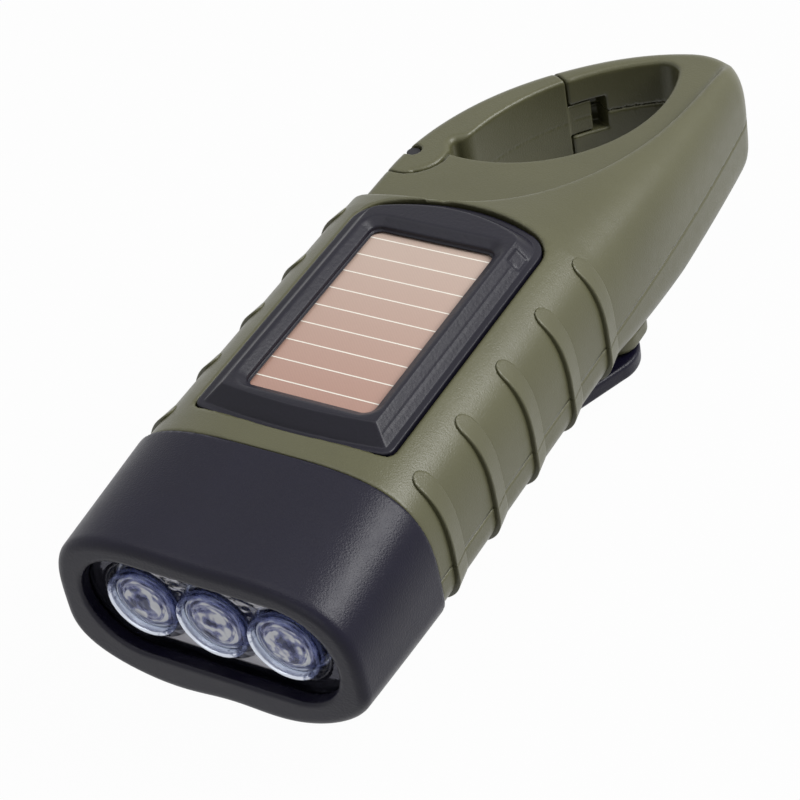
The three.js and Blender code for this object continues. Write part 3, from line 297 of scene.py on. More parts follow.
class Net:
    """A quad mesh on the zero surface of a field."""

    sheet = 8
    rounds = 3

    def __init__(self, solid: Field, low: Sequence[float], high: Sequence[float], cell: float) -> None:
        """Walk the field's grid and settle the points on its surface.

        Args:
            solid: The field to mesh.
            low: Lowest corner of the grid.
            high: Highest corner of the grid.
            cell: Size of a grid cell.
        """
        self.solid = solid
        self.cell = cell
        axes = [np.arange(a - cell, b + 2 * cell, cell) for a, b in zip(low, high)]
        values = self._sample(axes)
        self.points, self.quads = self._nets(values, axes)
        for _ in range(self.rounds):
            self._settle()

    def _sample(self, axes: list[Points]) -> Points:
        """Evaluate the field on the grid, a few sheets at a time.

        Args:
            axes: The grid's places along each axis.

        Returns:
            The field's values on the grid.
        """
        values = np.empty([len(a) for a in axes], np.float32)
        for start in range(0, len(axes[0]), self.sheet):
            part = slice(start, start + self.sheet)
            values[part] = self.solid(np.meshgrid(axes[0][part], axes[1], axes[2], indexing="ij"))
        return values

    def _nets(self, values: Points, axes: list[Points]) -> tuple[Points, Points]:
        """One point for each cell that the surface crosses, and one quad for each crossed edge.

        Args:
            values: The field's values on the grid.
            axes: The grid's places along each axis.

        Returns:
            The points, and the numbers of the four points of each quad.
        """
        inside = values < 0
        shape = tuple(n - 1 for n in values.shape)
        total = np.zeros((*shape, 3), np.float32)
        count = np.zeros(shape, np.int32)
        for axis in range(3):
            others = [a for a in range(3) if a != axis]
            low = np.take(values, range(values.shape[axis] - 1), axis)
            high = np.take(values, range(1, values.shape[axis]), axis)
            crossed = (low < 0) != (high < 0)
            share = np.where(crossed, low / np.where(crossed, low - high, 1.0), 0.0)
            for first in (0, 1):
                for second in (0, 1):
                    cut = [slice(None)] * 3
                    cut[others[0]] = slice(first, shape[others[0]] + first)
                    cut[others[1]] = slice(second, shape[others[1]] + second)
                    hit = crossed[tuple(cut)]
                    count += hit
                    total[..., axis] += np.where(hit, share[tuple(cut)], 0.0)
                    total[..., others[0]] += np.where(hit, first, 0)
                    total[..., others[1]] += np.where(hit, second, 0)
        active = count > 0
        number = np.full(shape, -1, np.int64)
        number[active] = np.arange(int(active.sum()))
        base = np.argwhere(active)
        origin = np.array([a[0] for a in axes])
        points = origin + self.cell * (base + total[active] / count[active][:, None])
        return points, self._quads(inside, number, shape)

    @staticmethod
    def _quads(inside: Points, number: Points, shape: tuple[int, ...]) -> Points:
        """Join the four cells round each crossed edge, facing outwards.

        Args:
            inside: Whether each grid point lies inside.
            number: Number of the point in each cell, or -1.
            shape: Number of cells along each axis.

        Returns:
            The numbers of the four points of each quad.
        """
        quads = []
        for axis in range(3):
            u, v = (axis + 1) % 3, (axis + 2) % 3
            cut = [slice(1, shape[a]) for a in range(3)]
            low = list(cut)
            low[axis] = slice(0, shape[axis])
            high = list(cut)
            high[axis] = slice(1, shape[axis] + 1)
            a, b = inside[tuple(low)], inside[tuple(high)]
            for flip, crossed in ((False, a & ~b), (True, ~a & b)):
                at = np.argwhere(crossed)
                at[:, u] += 1
                at[:, v] += 1
                ring = []
                for du, dv in ((-1, -1), (0, -1), (0, 0), (-1, 0)):
                    cell = at.copy()
                    cell[:, u] += du
                    cell[:, v] += dv
                    ring.append(number[tuple(cell.T)])
                quads.append(np.stack(ring[::-1] if flip else ring, 1))
        return np.concatenate(quads)

    def _settle(self) -> None:
        """Move each point towards the surface along the field's slope."""
        where = self.points.T
        step = self.cell * 0.1
        value = self.solid(where)
        moves = step * np.eye(3)[:, :, None]
        change = [self.solid(where + move) - self.solid(where - move) for move in moves]
        slope = np.stack(change, 1) / (2 * step)
        length = np.maximum((slope**2).sum(1), 0.25)
        move = slope * (value / length)[:, None]
        size = np.linalg.norm(move, axis=1)
        limit = self.cell * 0.5
        self.points = self.points - move * np.minimum(1.0, limit / np.maximum(size, 1e-9))[:, None]


@dataclass
class Workshop:
    """Makes the scene's objects in the frame."""

    place: Place
    finishes: Finishes

    def mesh(
        self, name: str, points: Points, faces: Sequence[Sequence[int]], finish: Finish,
        turn: Matrix | None = None, smooth: bool = True,
    ) -> bpy.types.Object:
        """Make an object from points in millimetres.

        Args:
            name: Name of the piece.
            points: Corner positions.
            faces: Corner numbers of each face.
            finish: How it looks.
            turn: A placing in the source's millimetres, or none.
            smooth: Whether the faces are shaded as one round surface.

        Returns:
            The new object, with its points in the frame.
        """
        data = bpy.data.meshes.new(name)
        data.from_pydata(np.asarray(points).tolist(), [], np.asarray(faces).tolist())
        data.transform(self.place.matrix() @ (turn or Matrix.Identity(4)))
        data.validate()
        data.polygons.foreach_set("use_smooth", np.full(len(data.polygons), smooth))
        data.materials.append(self.finishes[finish])
        data.update()
        made = bpy.data.objects.new(name, data)
        bpy.context.scene.collection.objects.link(made)
        return made

    def skin(
        self, name: str, solid: Field, low: Sequence[float], high: Sequence[float], cell: float,
        finish: Finish, seat: Sequence[str], turn: Matrix | None = None,
    ) -> None:
        """Mesh a field, dress it and seat it.

        Args:
            name: Name of the piece.
            solid: The field.
            low: Lowest corner of the grid.
            high: Highest corner of the grid.
            cell: Size of a grid cell.
            finish: How it looks.
            seat: Its body, its slot and the CAD nodes that it stands for.
            turn: A placing in the source's millimetres, or none.
        """
        shape = Net(solid, low, high, cell)
        LOG.info("%s: %d faces", name, len(shape.quads))
        self.seat(self.mesh(name, shape.points, shape.quads, finish, turn), *seat)

    @staticmethod
    def seat(piece: bpy.types.Object, body: str, slot: str, *nodes: str) -> None:
        """Put a piece on its body, and hide the CAD nodes that it stands for.

        Args:
            piece: The object.
            body: The body that it rides on.
            slot: Not used.
            nodes: The CAD nodes that it stands for.
        """
        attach(piece, body)
        if nodes:
            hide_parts(*nodes)
        LOG.info("%s rides on %s", piece.name, body)


# Shader maths


class Value:
    """A shader socket that can be used in Python expressions."""

    def __init__(self, shader: "Shader", socket: bpy.types.NodeSocket) -> None:
        """Keep the socket and the shader that it belongs to."""
        self.shader = shader
        self.socket = socket

    def _math(self, operation: str, first: object, second: object) -> "Value":
        """Add a Math node for two values."""
        return self.shader.node("ShaderNodeMath", {"operation": operation}, {0: first, 1: second})

    def __add__(self, other: object) -> "Value":
        """Sum of two values."""
        return self._math("ADD", self, other)

    def __radd__(self, other: object) -> "Value":
        """Sum of a number and a value."""
        return self._math("ADD", other, self)

    def __sub__(self, other: object) -> "Value":
        """Difference of two values."""
        return self._math("SUBTRACT", self, other)

    def __rsub__(self, other: object) -> "Value":
        """Difference of a number and a value."""
        return self._math("SUBTRACT", other, self)

    def __mul__(self, other: object) -> "Value":
        """Product of two values."""
        return self._math("MULTIPLY", self, other)

    def __rmul__(self, other: object) -> "Value":
        """Product of a number and a value."""
        return self._math("MULTIPLY", other, self)

    def __truediv__(self, other: object) -> "Value":
        """Quotient of two values."""
        return self._math("DIVIDE", self, other)

    def __rtruediv__(self, other: object) -> "Value":
        """Quotient of a number and a value."""
        return self._math("DIVIDE", other, self)

    def power(self, exponent: float) -> "Value":
        """The value raised to a power."""
        return self._math("POWER", self, exponent)

    def absolute(self) -> "Value":
        """The value without its sign."""
        return self._math("ABSOLUTE", self, 0.0)


class Shader:
    """Builds the nodes of one material."""

    def __init__(self, name: str) -> None:
        """Start a material with a Principled BSDF.

        Args:
            name: Name of the material.
        """
        self.material = bpy.data.materials.new(name)
        self.material.use_nodes = True
        self.tree = self.material.node_tree
        self.surface = self.tree.nodes["Principled BSDF"]
        self.output = self.tree.nodes["Material Output"]

    def node(
        self, kind: str, settings: dict[str, object] | None = None,
        inputs: dict[object, object] | None = None, output: object = 0,
    ) -> Value:
        """Add a node.

        Args:
            kind: Blender's name of the node type.
            settings: Properties that are set first; "stops" fills a colour ramp.
            inputs: Numbers, colours or values for its sockets.
            output: Which output to hand back.

        Returns:
            The chosen output.
        """
        made = self.tree.nodes.new(kind)
        for key, setting in (settings or {}).items():
            if key == "stops":
                self._stops(made.color_ramp, setting)
            else:
                setattr(made, key, setting)
        for key, given in (inputs or {}).items():
            self.feed(made.inputs[key], given)
        return Value(self, made.outputs[output])

    @staticmethod
    def _stops(ramp: bpy.types.ColorRamp, stops: Sequence[tuple[float, Sequence[float]]]) -> None:
        """Set a ramp's stops.

        Args:
            ramp: The colour ramp.
            stops: Position and colour of each stop.
        """
        while len(ramp.elements) < len(stops):
            ramp.elements.new(1.0)
        for element, (position, colour) in zip(ramp.elements, stops):
            element.position = position
            element.color = (*colour, 1.0)

    def feed(self, socket: bpy.types.NodeSocket, given: object) -> None:
        """Link a value to a socket, or set a number or colour on it.

        Args:
            socket: The socket to fill.
            given: A value, a number or a colour.
        """
        if isinstance(given, Value):
            self.tree.links.new(given.socket, socket)
        elif isinstance(given, (tuple, list)) and socket.type == "RGBA":
            socket.default_value = (*given[:3], 1.0)
        else:
            socket.default_value = given

    def set(self, **inputs: object) -> None:
        """Feed the Principled BSDF; underscores stand for spaces."""
        for key, given in inputs.items():
            self.feed(self.surface.inputs[key.replace("_", " ")], given)

    def place(self) -> Value:
        """The position on the object, in millimetres."""
        position = self.node("ShaderNodeTexCoord", output="Object")
        return self.node("ShaderNodeVectorMath", {"operation": "SCALE"}, {0: position, "Scale": 1000.0})

    def part(self, vector: Value, axis: str) -> Value:
        """One of the X, Y and Z parts of a vector."""
        return self.node("ShaderNodeSeparateXYZ", None, {0: vector}, axis)

    def noise(self, size: float, detail: float = 2.0, roughness: float = 0.5) -> Value:
        """Noise with grains of about the given size in millimetres."""
        grain = {"Vector": self.place(), "Scale": 1.0 / size, "Detail": detail, "Roughness": roughness}
        return self.node("ShaderNodeTexNoise", {"noise_dimensions": "3D"}, grain)

    def streaks(self, vector: Value, scale: float, detail: float) -> Value:
        """Noise over any vector."""
        return self.node("ShaderNodeTexNoise", None, {"Vector": vector, "Scale": scale, "Detail": detail})

    def stretched(self, scale: Sequence[float]) -> Value:
        """The position in millimetres, scaled along each axis."""
        return self.node("ShaderNodeMapping", None, {"Vector": self.place(), "Scale": scale})

    def combined(self, x: Value, y: Value, z: Value) -> Value:
        """A vector from its three parts."""
        return self.node("ShaderNodeCombineXYZ", None, {"X": x, "Y": y, "Z": z})

    def ramp(self, value: Value, stops: Sequence[tuple[float, Colour]]) -> Value:
        """A colour looked up on a ramp with the given stops."""
        return self.node("ShaderNodeValToRGB", {"stops": stops}, {"Fac": value}, "Color")

    def facing(self) -> Value:
        """The share of light that a clear surface reflects, more at a slant."""
        return self.node("ShaderNodeLayerWeight", None, {"Blend": 0.3}, "Fresnel")

    def mix(self, share: object, first: object, second: object, blend: str = "MIX") -> Value:
        """Mix two colours."""
        settings = {"data_type": "RGBA", "blend_type": blend}
        return self.node("ShaderNodeMix", settings, {0: share, 6: first, 7: second}, 2)

    def clamp(self, value: Value) -> Value:
        """The value held between 0 and 1."""
        return self.node("ShaderNodeClamp", None, {"Value": value})

    def about_lamps(self) -> tuple[Value, Value, Value]:
        """How far across, up and away a point lies from the axis of the nearest lamp.

        Returns:
            The three distances, in millimetres.
        """
        place = self.place()
        side = self.part(place, "X")
        number = self.node("ShaderNodeMath", {"operation": "ROUND"}, {0: side / LAMP_PITCH})
        near = self.node("ShaderNodeClamp", None, {"Value": number, "Min": -1.0, "Max": 1.0})
        across = side - near * LAMP_PITCH
        up = self.part(place, "Z") - LAMP_HEIGHT
        return across, up, (across * across + up * up + 0.01).power(0.5)

    def see_through(self, share: Value, tint: Sequence[float]) -> None:
        """Let light through, apart from a share that meets the surface.

        Args:
            share: The share that meets the surface.
            tint: The colour of the light that passes.
        """
        clear = self.node("ShaderNodeBsdfTransparent", None, {"Color": tint}, output="BSDF")
        body = Value(self, self.surface.outputs["BSDF"])
        both = self.node("ShaderNodeMixShader", None, {0: share, 1: clear, 2: body}, output="Shader")
        self.tree.links.new(both.socket, self.output.inputs["Surface"])

    def bump(self, height: Value, depth: float) -> None:
        """Raise the surface by a height of so many millimetres."""
        inputs = {"Height": height, "Distance": depth * MM, "Strength": 1.0}
        self.set(Normal=self.node("ShaderNodeBump", None, inputs, "Normal"))


def linear(red: int, green: int, blue: int) -> Colour:
    """A colour from the 0 to 255 values of a screen.

    Args:
        red: The red part, 0 to 255.
        green: The green part, 0 to 255.
        blue: The blue part, 0 to 255.

    Returns:
        The colour in linear light, 0 to 1.
    """

    def channel(value: int) -> float:
        """One part of the colour."""
        share = value / 255
        return share / 12.92 if share <= 0.04045 else ((share + 0.055) / 1.055) ** 2.4

    return channel(red), channel(green), channel(blue)


@dataclass(frozen=True)
class MouldedPlastic:
    """Spark-eroded plastic with a fine grain and a soft sheen."""

    name: str
    colour: Colour
    shade: Colour
    roughness: float
    grain: float = 0.28
    depth: float = 0.02
    specular: float = 0.5

    def material(self) -> bpy.types.Material:
        """Build the material.

        Returns:
            The material.
        """
        shader = Shader(self.name)
        grain = shader.noise(self.grain, 2.0)
        cloud = shader.noise(14.0, 3.0)
        rub = shader.noise(2.4, 3.0, 0.6)
        share = (cloud * 0.6 + grain * 0.4 - 0.35) * 1.6
        shader.set(
            Base_Color=shader.mix(share, self.shade, self.colour),
            Roughness=(rub - 0.5) * 0.14 + self.roughness,
            Specular_IOR_Level=self.specular,
        )
        shader.bump(grain + rub * 0.3, self.depth)
        return shader.material


@dataclass(frozen=True)
class Metal:
    """Plated, ground or polished metal with faint marks of its working."""

    name: str
    colour: Colour
    roughness: float
    stretch: float = 1.0
    depth: float = 0.004

    def material(self) -> bpy.types.Material:
        """Build the material.

        Returns:
            The material.
        """
        shader = Shader(self.name)
        marks = shader.streaks(shader.stretched((self.stretch, self.stretch, 9.0)), 1.4, 3.0)
        dull = tuple(value * 0.82 for value in self.colour)
        shader.set(
            Base_Color=shader.mix(marks, dull, self.colour),
            Roughness=(marks - 0.5) * 0.2 + self.roughness,
            Metallic=1.0,
        )
        shader.bump(marks, self.depth)
        return shader.material


@dataclass(frozen=True)
class ClearPlastic:
    """Clear moulded plastic that lets light through and reflects at a slant."""

    name: str
    tint: Colour
    body: Colour
    gloss: float

    def material(self) -> bpy.types.Material:
        """Build the material.

        Returns:
            The material.
        """
        shader = Shader(self.name)
        wave = shader.noise(3.0, 1.0)
        shader.set(Base_Color=self.body, Roughness=(wave - 0.5) * 0.04 + 0.05, Coat_Weight=0.3)
        shader.bump(wave, 0.03)
        shader.see_through(shader.facing() * 0.45 + self.gloss, self.tint)
        return shader.material


@dataclass(frozen=True)
class WindowPlastic:
    """The lamp window: clear, with painted pale reflections in wedges between the lamps, painted highlights
    in streaks above and dark ends.
    """

    name: str

    def material(self) -> bpy.types.Material:
        """Build the material.

        Returns:
            The material.
        """
        shader = Shader(self.name)
        _, up, reach = shader.about_lamps()
        side = shader.part(shader.place(), "X").absolute()
        streak = shader.streaks(shader.stretched((0.45, 1.0, 1.5)), 0.9, 2.0)
        beyond = shader.clamp((reach - 7.0) * 3.0)
        middle = shader.clamp((14.0 - side) * 0.8)
        # Painted pale reflections: near white wedges below and between the lamps
        wedges = shader.clamp(up * -1.2 - 3.6) * beyond * shader.clamp(11.5 - side)
        wedges = wedges * shader.clamp((up + 7.5) * 2.0)
        # Painted highlights: near white streaks above the lamps
        glints = shader.clamp((streak - 0.43) * 7.0) * shader.clamp(up * 0.8 - 1.2) * middle
        glints = glints * shader.clamp((reach - 6.1) * 3.0)
        ends = shader.clamp((side - 12.5) * 0.22) * shader.clamp((reach - 6.2) * 0.9) * 0.75
        painted_light = shader.clamp(wedges + glints)
        shown = shader.clamp(painted_light + ends)
        dark = shader.mix(streak, linear(34, 34, 46), linear(84, 84, 98))
        shader.set(
            Base_Color=shader.mix(painted_light, dark, linear(250, 248, 255)),
            Roughness=streak * 0.08 + 0.04,
            Metallic=ends * 0.8,
        )
        shader.bump(streak, 0.03)
        clear = shader.facing() * 0.3 + 0.02
        shader.see_through(shown * 0.9 + clear * (1.0 - shown), (0.97, 0.98, 1.0))
        return shader.material


@dataclass(frozen=True)
class RimPlastic:
    """Clear rings round the lamps, with a painted highlight on the side of their walls away from the light.
    """

    name: str

    def material(self) -> bpy.types.Material:
        """Build the material.

        Returns:
            The material.
        """
        shader = Shader(self.name)
        across, up, reach = shader.about_lamps()
        streak = shader.noise(1.1, 2.0, 0.6)
        # Painted highlight: the colour turns near white towards the lower left of each ring, broken by
        # streaks
        toward = (across * -0.55 + up * -0.8) / reach + streak * 1.4 - 0.7
        shine = shader.clamp((toward - 0.1) * 2.4)
        shader.set(
            Base_Color=shader.mix(shine, linear(120, 128, 176), linear(236, 242, 255)),
            Roughness=streak * 0.1 + 0.08,
            Metallic=0.6,
        )
        shader.bump(streak, 0.05)
        shader.see_through(shine * 0.75 + 0.2, (0.9, 0.93, 1.0))
        return shader.material


@dataclass(frozen=True)
class LensPlastic:
    """Clear domes over the lamps, with painted reflections in arcs and patches and a painted highlight near
    the rim.
    """

    name: str

    def material(self) -> bpy.types.Material:
        """Build the material.

        Returns:
            The material.
        """
        shader = Shader(self.name)
        across, up, reach = shader.about_lamps()
        # Painted reflections: noise bent into arcs round each lamp axis, and patches near the axis,
        # coloured from dark navy to white
        arcs = shader.combined(across / reach * 1.1, up / reach * 1.1, reach * 1.5)
        bent = shader.streaks(arcs, 1.0, 2.0)
        patches = shader.noise(1.9, 1.0)
        inner = shader.clamp((3.2 - reach) * 2.5)
        both = bent * (1.0 - inner) + patches * inner
        shown = shader.ramp(both, [
            (0.40, linear(30, 33, 78)), (0.47, linear(122, 128, 180)),
            (0.54, linear(180, 183, 210)), (0.60, linear(252, 253, 255)),
        ])
        # Painted highlight near the rim on the lower left of each dome
        toward = (across * -0.6 + up * -0.8) / reach
        shine = shader.clamp(toward * 2.2 - 0.4) * shader.clamp((reach - 4.3) * 1.6)
        colour = shader.mix(shine, shown, (0.92, 0.95, 1.0))
        shader.set(Base_Color=colour, Roughness=patches * 0.1 + 0.06, Metallic=0.3)
        shader.bump(both, 0.12)
        shader.see_through(shine * 0.35 + 0.62, (0.9, 0.93, 1.0))
        return shader.material


@dataclass(frozen=True)
class CupMirror:
    """Metallised cups and their flange: the cups mirror in part and carry painted reflections, and the
    flange carries a painted pale reflection below the lamps.
    """

    name: str
    roughness: float

    def material(self) -> bpy.types.Material:
        """Build the material.

        Returns:
            The material.
        """
        shader = Shader(self.name)
        across, up, reach = shader.about_lamps()
        # Painted reflections in the cups: facet bands from dark navy to white, over a partly metallic
        # surface
        spokes = shader.combined(across / reach * 2.6, up / reach * 2.6, reach * 0.55)
        facets = shader.streaks(spokes, 1.0, 3.0)
        bowl = shader.ramp(facets, [
            (0.34, linear(52, 56, 98)), (0.45, linear(132, 138, 184)),
            (0.54, linear(186, 190, 220)), (0.62, linear(250, 252, 255)),
        ])
        side = shader.part(shader.place(), "X").absolute()
        # Painted pale reflection on the flange below the lamps, broken by the facets
        low = shader.clamp(up * -0.5 - 1.2)
        pale = shader.clamp((14.5 - side) * 0.4) * shader.clamp(low + (facets - 0.5) * 4.0)
        flat = shader.mix(pale, linear(52, 52, 66), linear(232, 229, 236))
        line = shader.clamp(1.0 - (reach - 6.7).absolute() * 3.2)
        outer = shader.mix(line, flat, linear(24, 25, 38))
        beyond = shader.clamp((reach - 6.1) * 4.0)
        shader.set(
            Base_Color=shader.mix(beyond, bowl, outer),
            Roughness=facets * 0.12 + self.roughness,
            Metallic=0.6 - beyond * 0.6,
        )
        shader.bump(facets, 0.08)
        return shader.material


@dataclass(frozen=True)
class SolarFilm:
    """Thin-film cell under a clear coat, warmer towards the head."""

    name: str
    near: Colour
    far: Colour
    span: Pair

    def material(self) -> bpy.types.Material:
        """Build the material.

        Returns:
            The material.
        """
        shader = Shader(self.name)
        place = shader.place()
        share = (shader.part(place, "Y") - self.span[0]) * (1.0 / (self.span[1] - self.span[0]))
        weave = shader.node(
            "ShaderNodeTexWave", {"wave_type": "BANDS", "bands_direction": "DIAGONAL"},
            {"Vector": place, "Scale": 1.1, "Distortion": 1.5, "Detail": 2.0},
            output="Fac",
        )
        speckle = shader.noise(0.35, 3.0, 0.7)
        base = shader.mix(share, self.near, self.far)
        dark = shader.mix(0.35, base, (0.72, 0.68, 0.7), "MULTIPLY")
        tone = (weave * 0.35 + speckle * 0.8 - 0.25).absolute()
        shader.set(
            Base_Color=shader.mix(tone, dark, base),
            Roughness=speckle * 0.15 + 0.34,
            Coat_Weight=0.35,
            Coat_Roughness=0.12,
        )
        shader.bump(speckle, 0.008)
        return shader.material


@dataclass(frozen=True)
class PlainCoat:
    """Paint, solder mask or enamel, with small colour changes and a bump."""

    name: str
    colour: Colour
    roughness: float
    size: float = 1.5

    def material(self) -> bpy.types.Material:
        """Build the material.

        Returns:
            The material.
        """
        shader = Shader(self.name)
        cloud = shader.noise(self.size, 3.0)
        dark = tuple(value * 0.8 for value in self.colour)
        shader.set(
            Base_Color=shader.mix(cloud, dark, self.colour),
            Roughness=(cloud - 0.5) * 0.2 + self.roughness,
        )
        shader.bump(cloud, 0.01)
        return shader.material


class Finish(Enum):
    """The finishes of the flashlight."""

    OLIVE = MouldedPlastic("olive_plastic", linear(93, 92, 66), linear(83, 82, 58), 0.36, 0.26, 0.04, 0.4)
    BLACK = MouldedPlastic("black_plastic", linear(18, 16, 37), linear(12, 10, 28), 0.35, 0.26, 0.05, 0.23)
    FRAME = MouldedPlastic("frame_plastic", linear(26, 24, 37), linear(18, 17, 28), 0.38, 0.6, 0.035, 0.26)
    SOFT = MouldedPlastic("button_plastic", linear(30, 30, 34), linear(24, 24, 27), 0.5, 0.3, 0.02, 0.25)
    NYLON = MouldedPlastic("nylon", linear(236, 232, 214), linear(222, 217, 198), 0.5, 0.6, 0.006)
    STEEL = Metal("steel", linear(196, 198, 202), 0.28)
    DARK_STEEL = Metal("dark_steel", linear(62, 62, 64), 0.45)
    BRASS = Metal("brass", linear(205, 166, 84), 0.3)
    MAGNET = Metal("magnet", linear(112, 114, 120), 0.35)
    COPPER = Metal("copper_wire", linear(196, 118, 66), 0.32, 14.0, 0.03)
    CAN = Metal("cell_can", linear(206, 206, 208), 0.24)
    CUPS = CupMirror("lamp_cups", 0.16)
    WINDOW = WindowPlastic("clear_window")
    LAMP = ClearPlastic("clear_lamp", (0.84, 0.88, 1.0), linear(150, 156, 205), 0.3)
    RIM = RimPlastic("clear_rims")
    LENS = LensPlastic("clear_domes")
    FILM = SolarFilm("solar_film", linear(178, 140, 125), linear(199, 178, 164), (-39.0, -1.0))
    SILVER = PlainCoat("silver_ink", linear(255, 250, 238), 0.45, 0.6)
    BOARD = PlainCoat("board", linear(40, 106, 62), 0.4)
    WHITE_BOARD = PlainCoat("white_board", linear(226, 226, 222), 0.45)
    BLACK_PART = PlainCoat("black_part", linear(34, 34, 37), 0.5)


class Finishes:
    """Builds each finish once, when it is first asked for."""

    def __init__(self) -> None:
        """Start with none."""
        self.built: dict[Finish, bpy.types.Material] = {}

    def __getitem__(self, finish: Finish) -> bpy.types.Material:
        """Hand back the material of a finish.

        Args:
            finish: The finish.

        Returns:
            Its material.
        """
        if finish not in self.built:
            self.built[finish] = finish.value.material()
        return self.built[finish]


# Body


@dataclass(frozen=True)
class Envelope:
    """The outer form of the two shells and the head."""

    half_width: float = 25.3
    crown: float = 20.1
    keel: float = 9.4
    crown_power: float = 3.5
    keel_power: float = 2.4
    tail_power: float = 4.2
    tail_start: float = 60.0
    tail_length: float = 25.0
    fall_start: float = 57.0
    fall: float = 0.106
    gate_start: float = 76.0
    gate_radius: float = 48.9
    spine_start: float = 60.0
    spine_radius: float = 540.0
    tip_radius: float = 10.0
    spine_end: Pair = (9.0, 112.0)

    @property
    def gate_centre(self) -> Pair:
        """Centre of the gate side's arc."""
        return self.gate_radius - self.half_width, self.gate_start

    @property
    def spine_centre(self) -> Pair:
        """Centre of the other side's arc."""
        return self.half_width - self.spine_radius, self.spine_start

    @property
    def tip_centre(self) -> Pair:
        """Centre of the round tip.

        Returns:
            The centre's place in plan.
        """
        return upper_crossing(
            self.gate_centre, self.gate_radius - self.tip_radius,
            self.spine_centre, self.spine_radius - self.tip_radius,
        )

    @property
    def length(self) -> float:
        """Length of the body from the seam to the tip."""
        return self.tip_centre[1] + self.tip_radius

    def outline(self, front: float) -> Outline:
        """The plan outline, starting at a place along the body.

        Args:
            front: Where the outline starts along the body.

        Returns:
            The corners of the outline.
        """
        tip, gate, spine = self.tip_centre, self.gate_centre, self.spine_centre
        gate_angle = math.atan2(tip[1] - gate[1], tip[0] - gate[0])
        spine_angle = math.atan2(tip[1] - spine[1], tip[0] - spine[0])
        return [
            (self.half_width, front),
            *arc(spine, self.spine_radius, 0.0, spine_angle, 40),
            *arc(tip, self.tip_radius, spine_angle, gate_angle, 24)[1:],
            *arc(gate, self.gate_radius, gate_angle, math.pi, 60)[1:],
            (-self.half_width, front),
        ]

    def middle_line(self, front: float) -> Outline:
        """The line under the crown, from a place along the body to near the tip."""
        start = (self.spine_start + self.gate_start) / 2
        return [(0.0, front), (0.0, start), self.spine_end]

    def power(self, y: Points, body: float) -> Points:
        """How square a section is at a place along the body."""
        share = np.clip((y - self.tail_start) / self.tail_length, 0.0, 1.0)
        return body + (self.tail_power - body) * share


@dataclass(frozen=True)
class FlatTop:
    """The flat region of the carabiner's top, seen from above."""

    centre: Pair = (-13.0, 111.0)
    width: float = 31.4
    length: float = 50.7
    power: float = 2.7
    bow: float = 9.0
    reach: float = 17.3
    end: float = 135.0

    def outline(self) -> Outline:
        """The plan outline: a bowed front, a superellipse at the spine and straight ends.

        Returns:
            The corners of the outline.
        """
        x, y = self.centre
        front = y - self.length
        bent = 2 / self.power
        near = [(x - self.reach * s, front + self.bow * s * s) for s in np.linspace(1, 0, 16)[:-1]]
        side = [
            (x + self.width * math.sin(a) ** bent, y - self.length * abs(math.cos(a)) ** bent)
            for a in np.linspace(0.0, math.pi / 2, 60)
        ]
        return [*near, *side, (x + self.width, self.end), (x - self.reach, self.end)]


@dataclass(frozen=True)
class Loop:
    """The open space of the carabiner between the gate and the spine."""

    gate: Pair = (22.8, 82.6)
    gate_radius: float = 38.8
    spine: Pair = (-13.0, 107.6)
    spine_radius: float = 24.8
    corner: float = 3.5
    near: Pair = (-15.95, 83.0)
    root: float = 82.98

    def outline(self) -> Outline:
        """The plan outline, with its far corner rounded.

        Returns:
            The corners of the outline.
        """
        gate, spine, near = self.gate, self.spine, self.near
        far = upper_crossing(gate, self.gate_radius - self.corner, spine, self.spine_radius - self.corner)
        gate_far = math.atan2(far[1] - gate[1], far[0] - gate[0])
        spine_far = math.atan2(far[1] - spine[1], far[0] - spine[0])
        gate_near = math.atan2(near[1] - gate[1], near[0] - gate[0])
        spine_near = math.atan2(near[1] - spine[1], near[0] - spine[0])
        return [
            *arc(spine, self.spine_radius, spine_near, spine_far, 60),
            *arc(far, self.corner, spine_far, gate_far, 16)[1:],
            *arc(gate, self.gate_radius, gate_far, gate_near, 60)[1:],
        ]


@dataclass(frozen=True)
class Tongue:
    """Sizes of the gate's tongue, or of the notch that takes it."""

    end: float
    half: float
    skin: float
    inner: float
    start: float = 29.5
    rise: float = 15.0


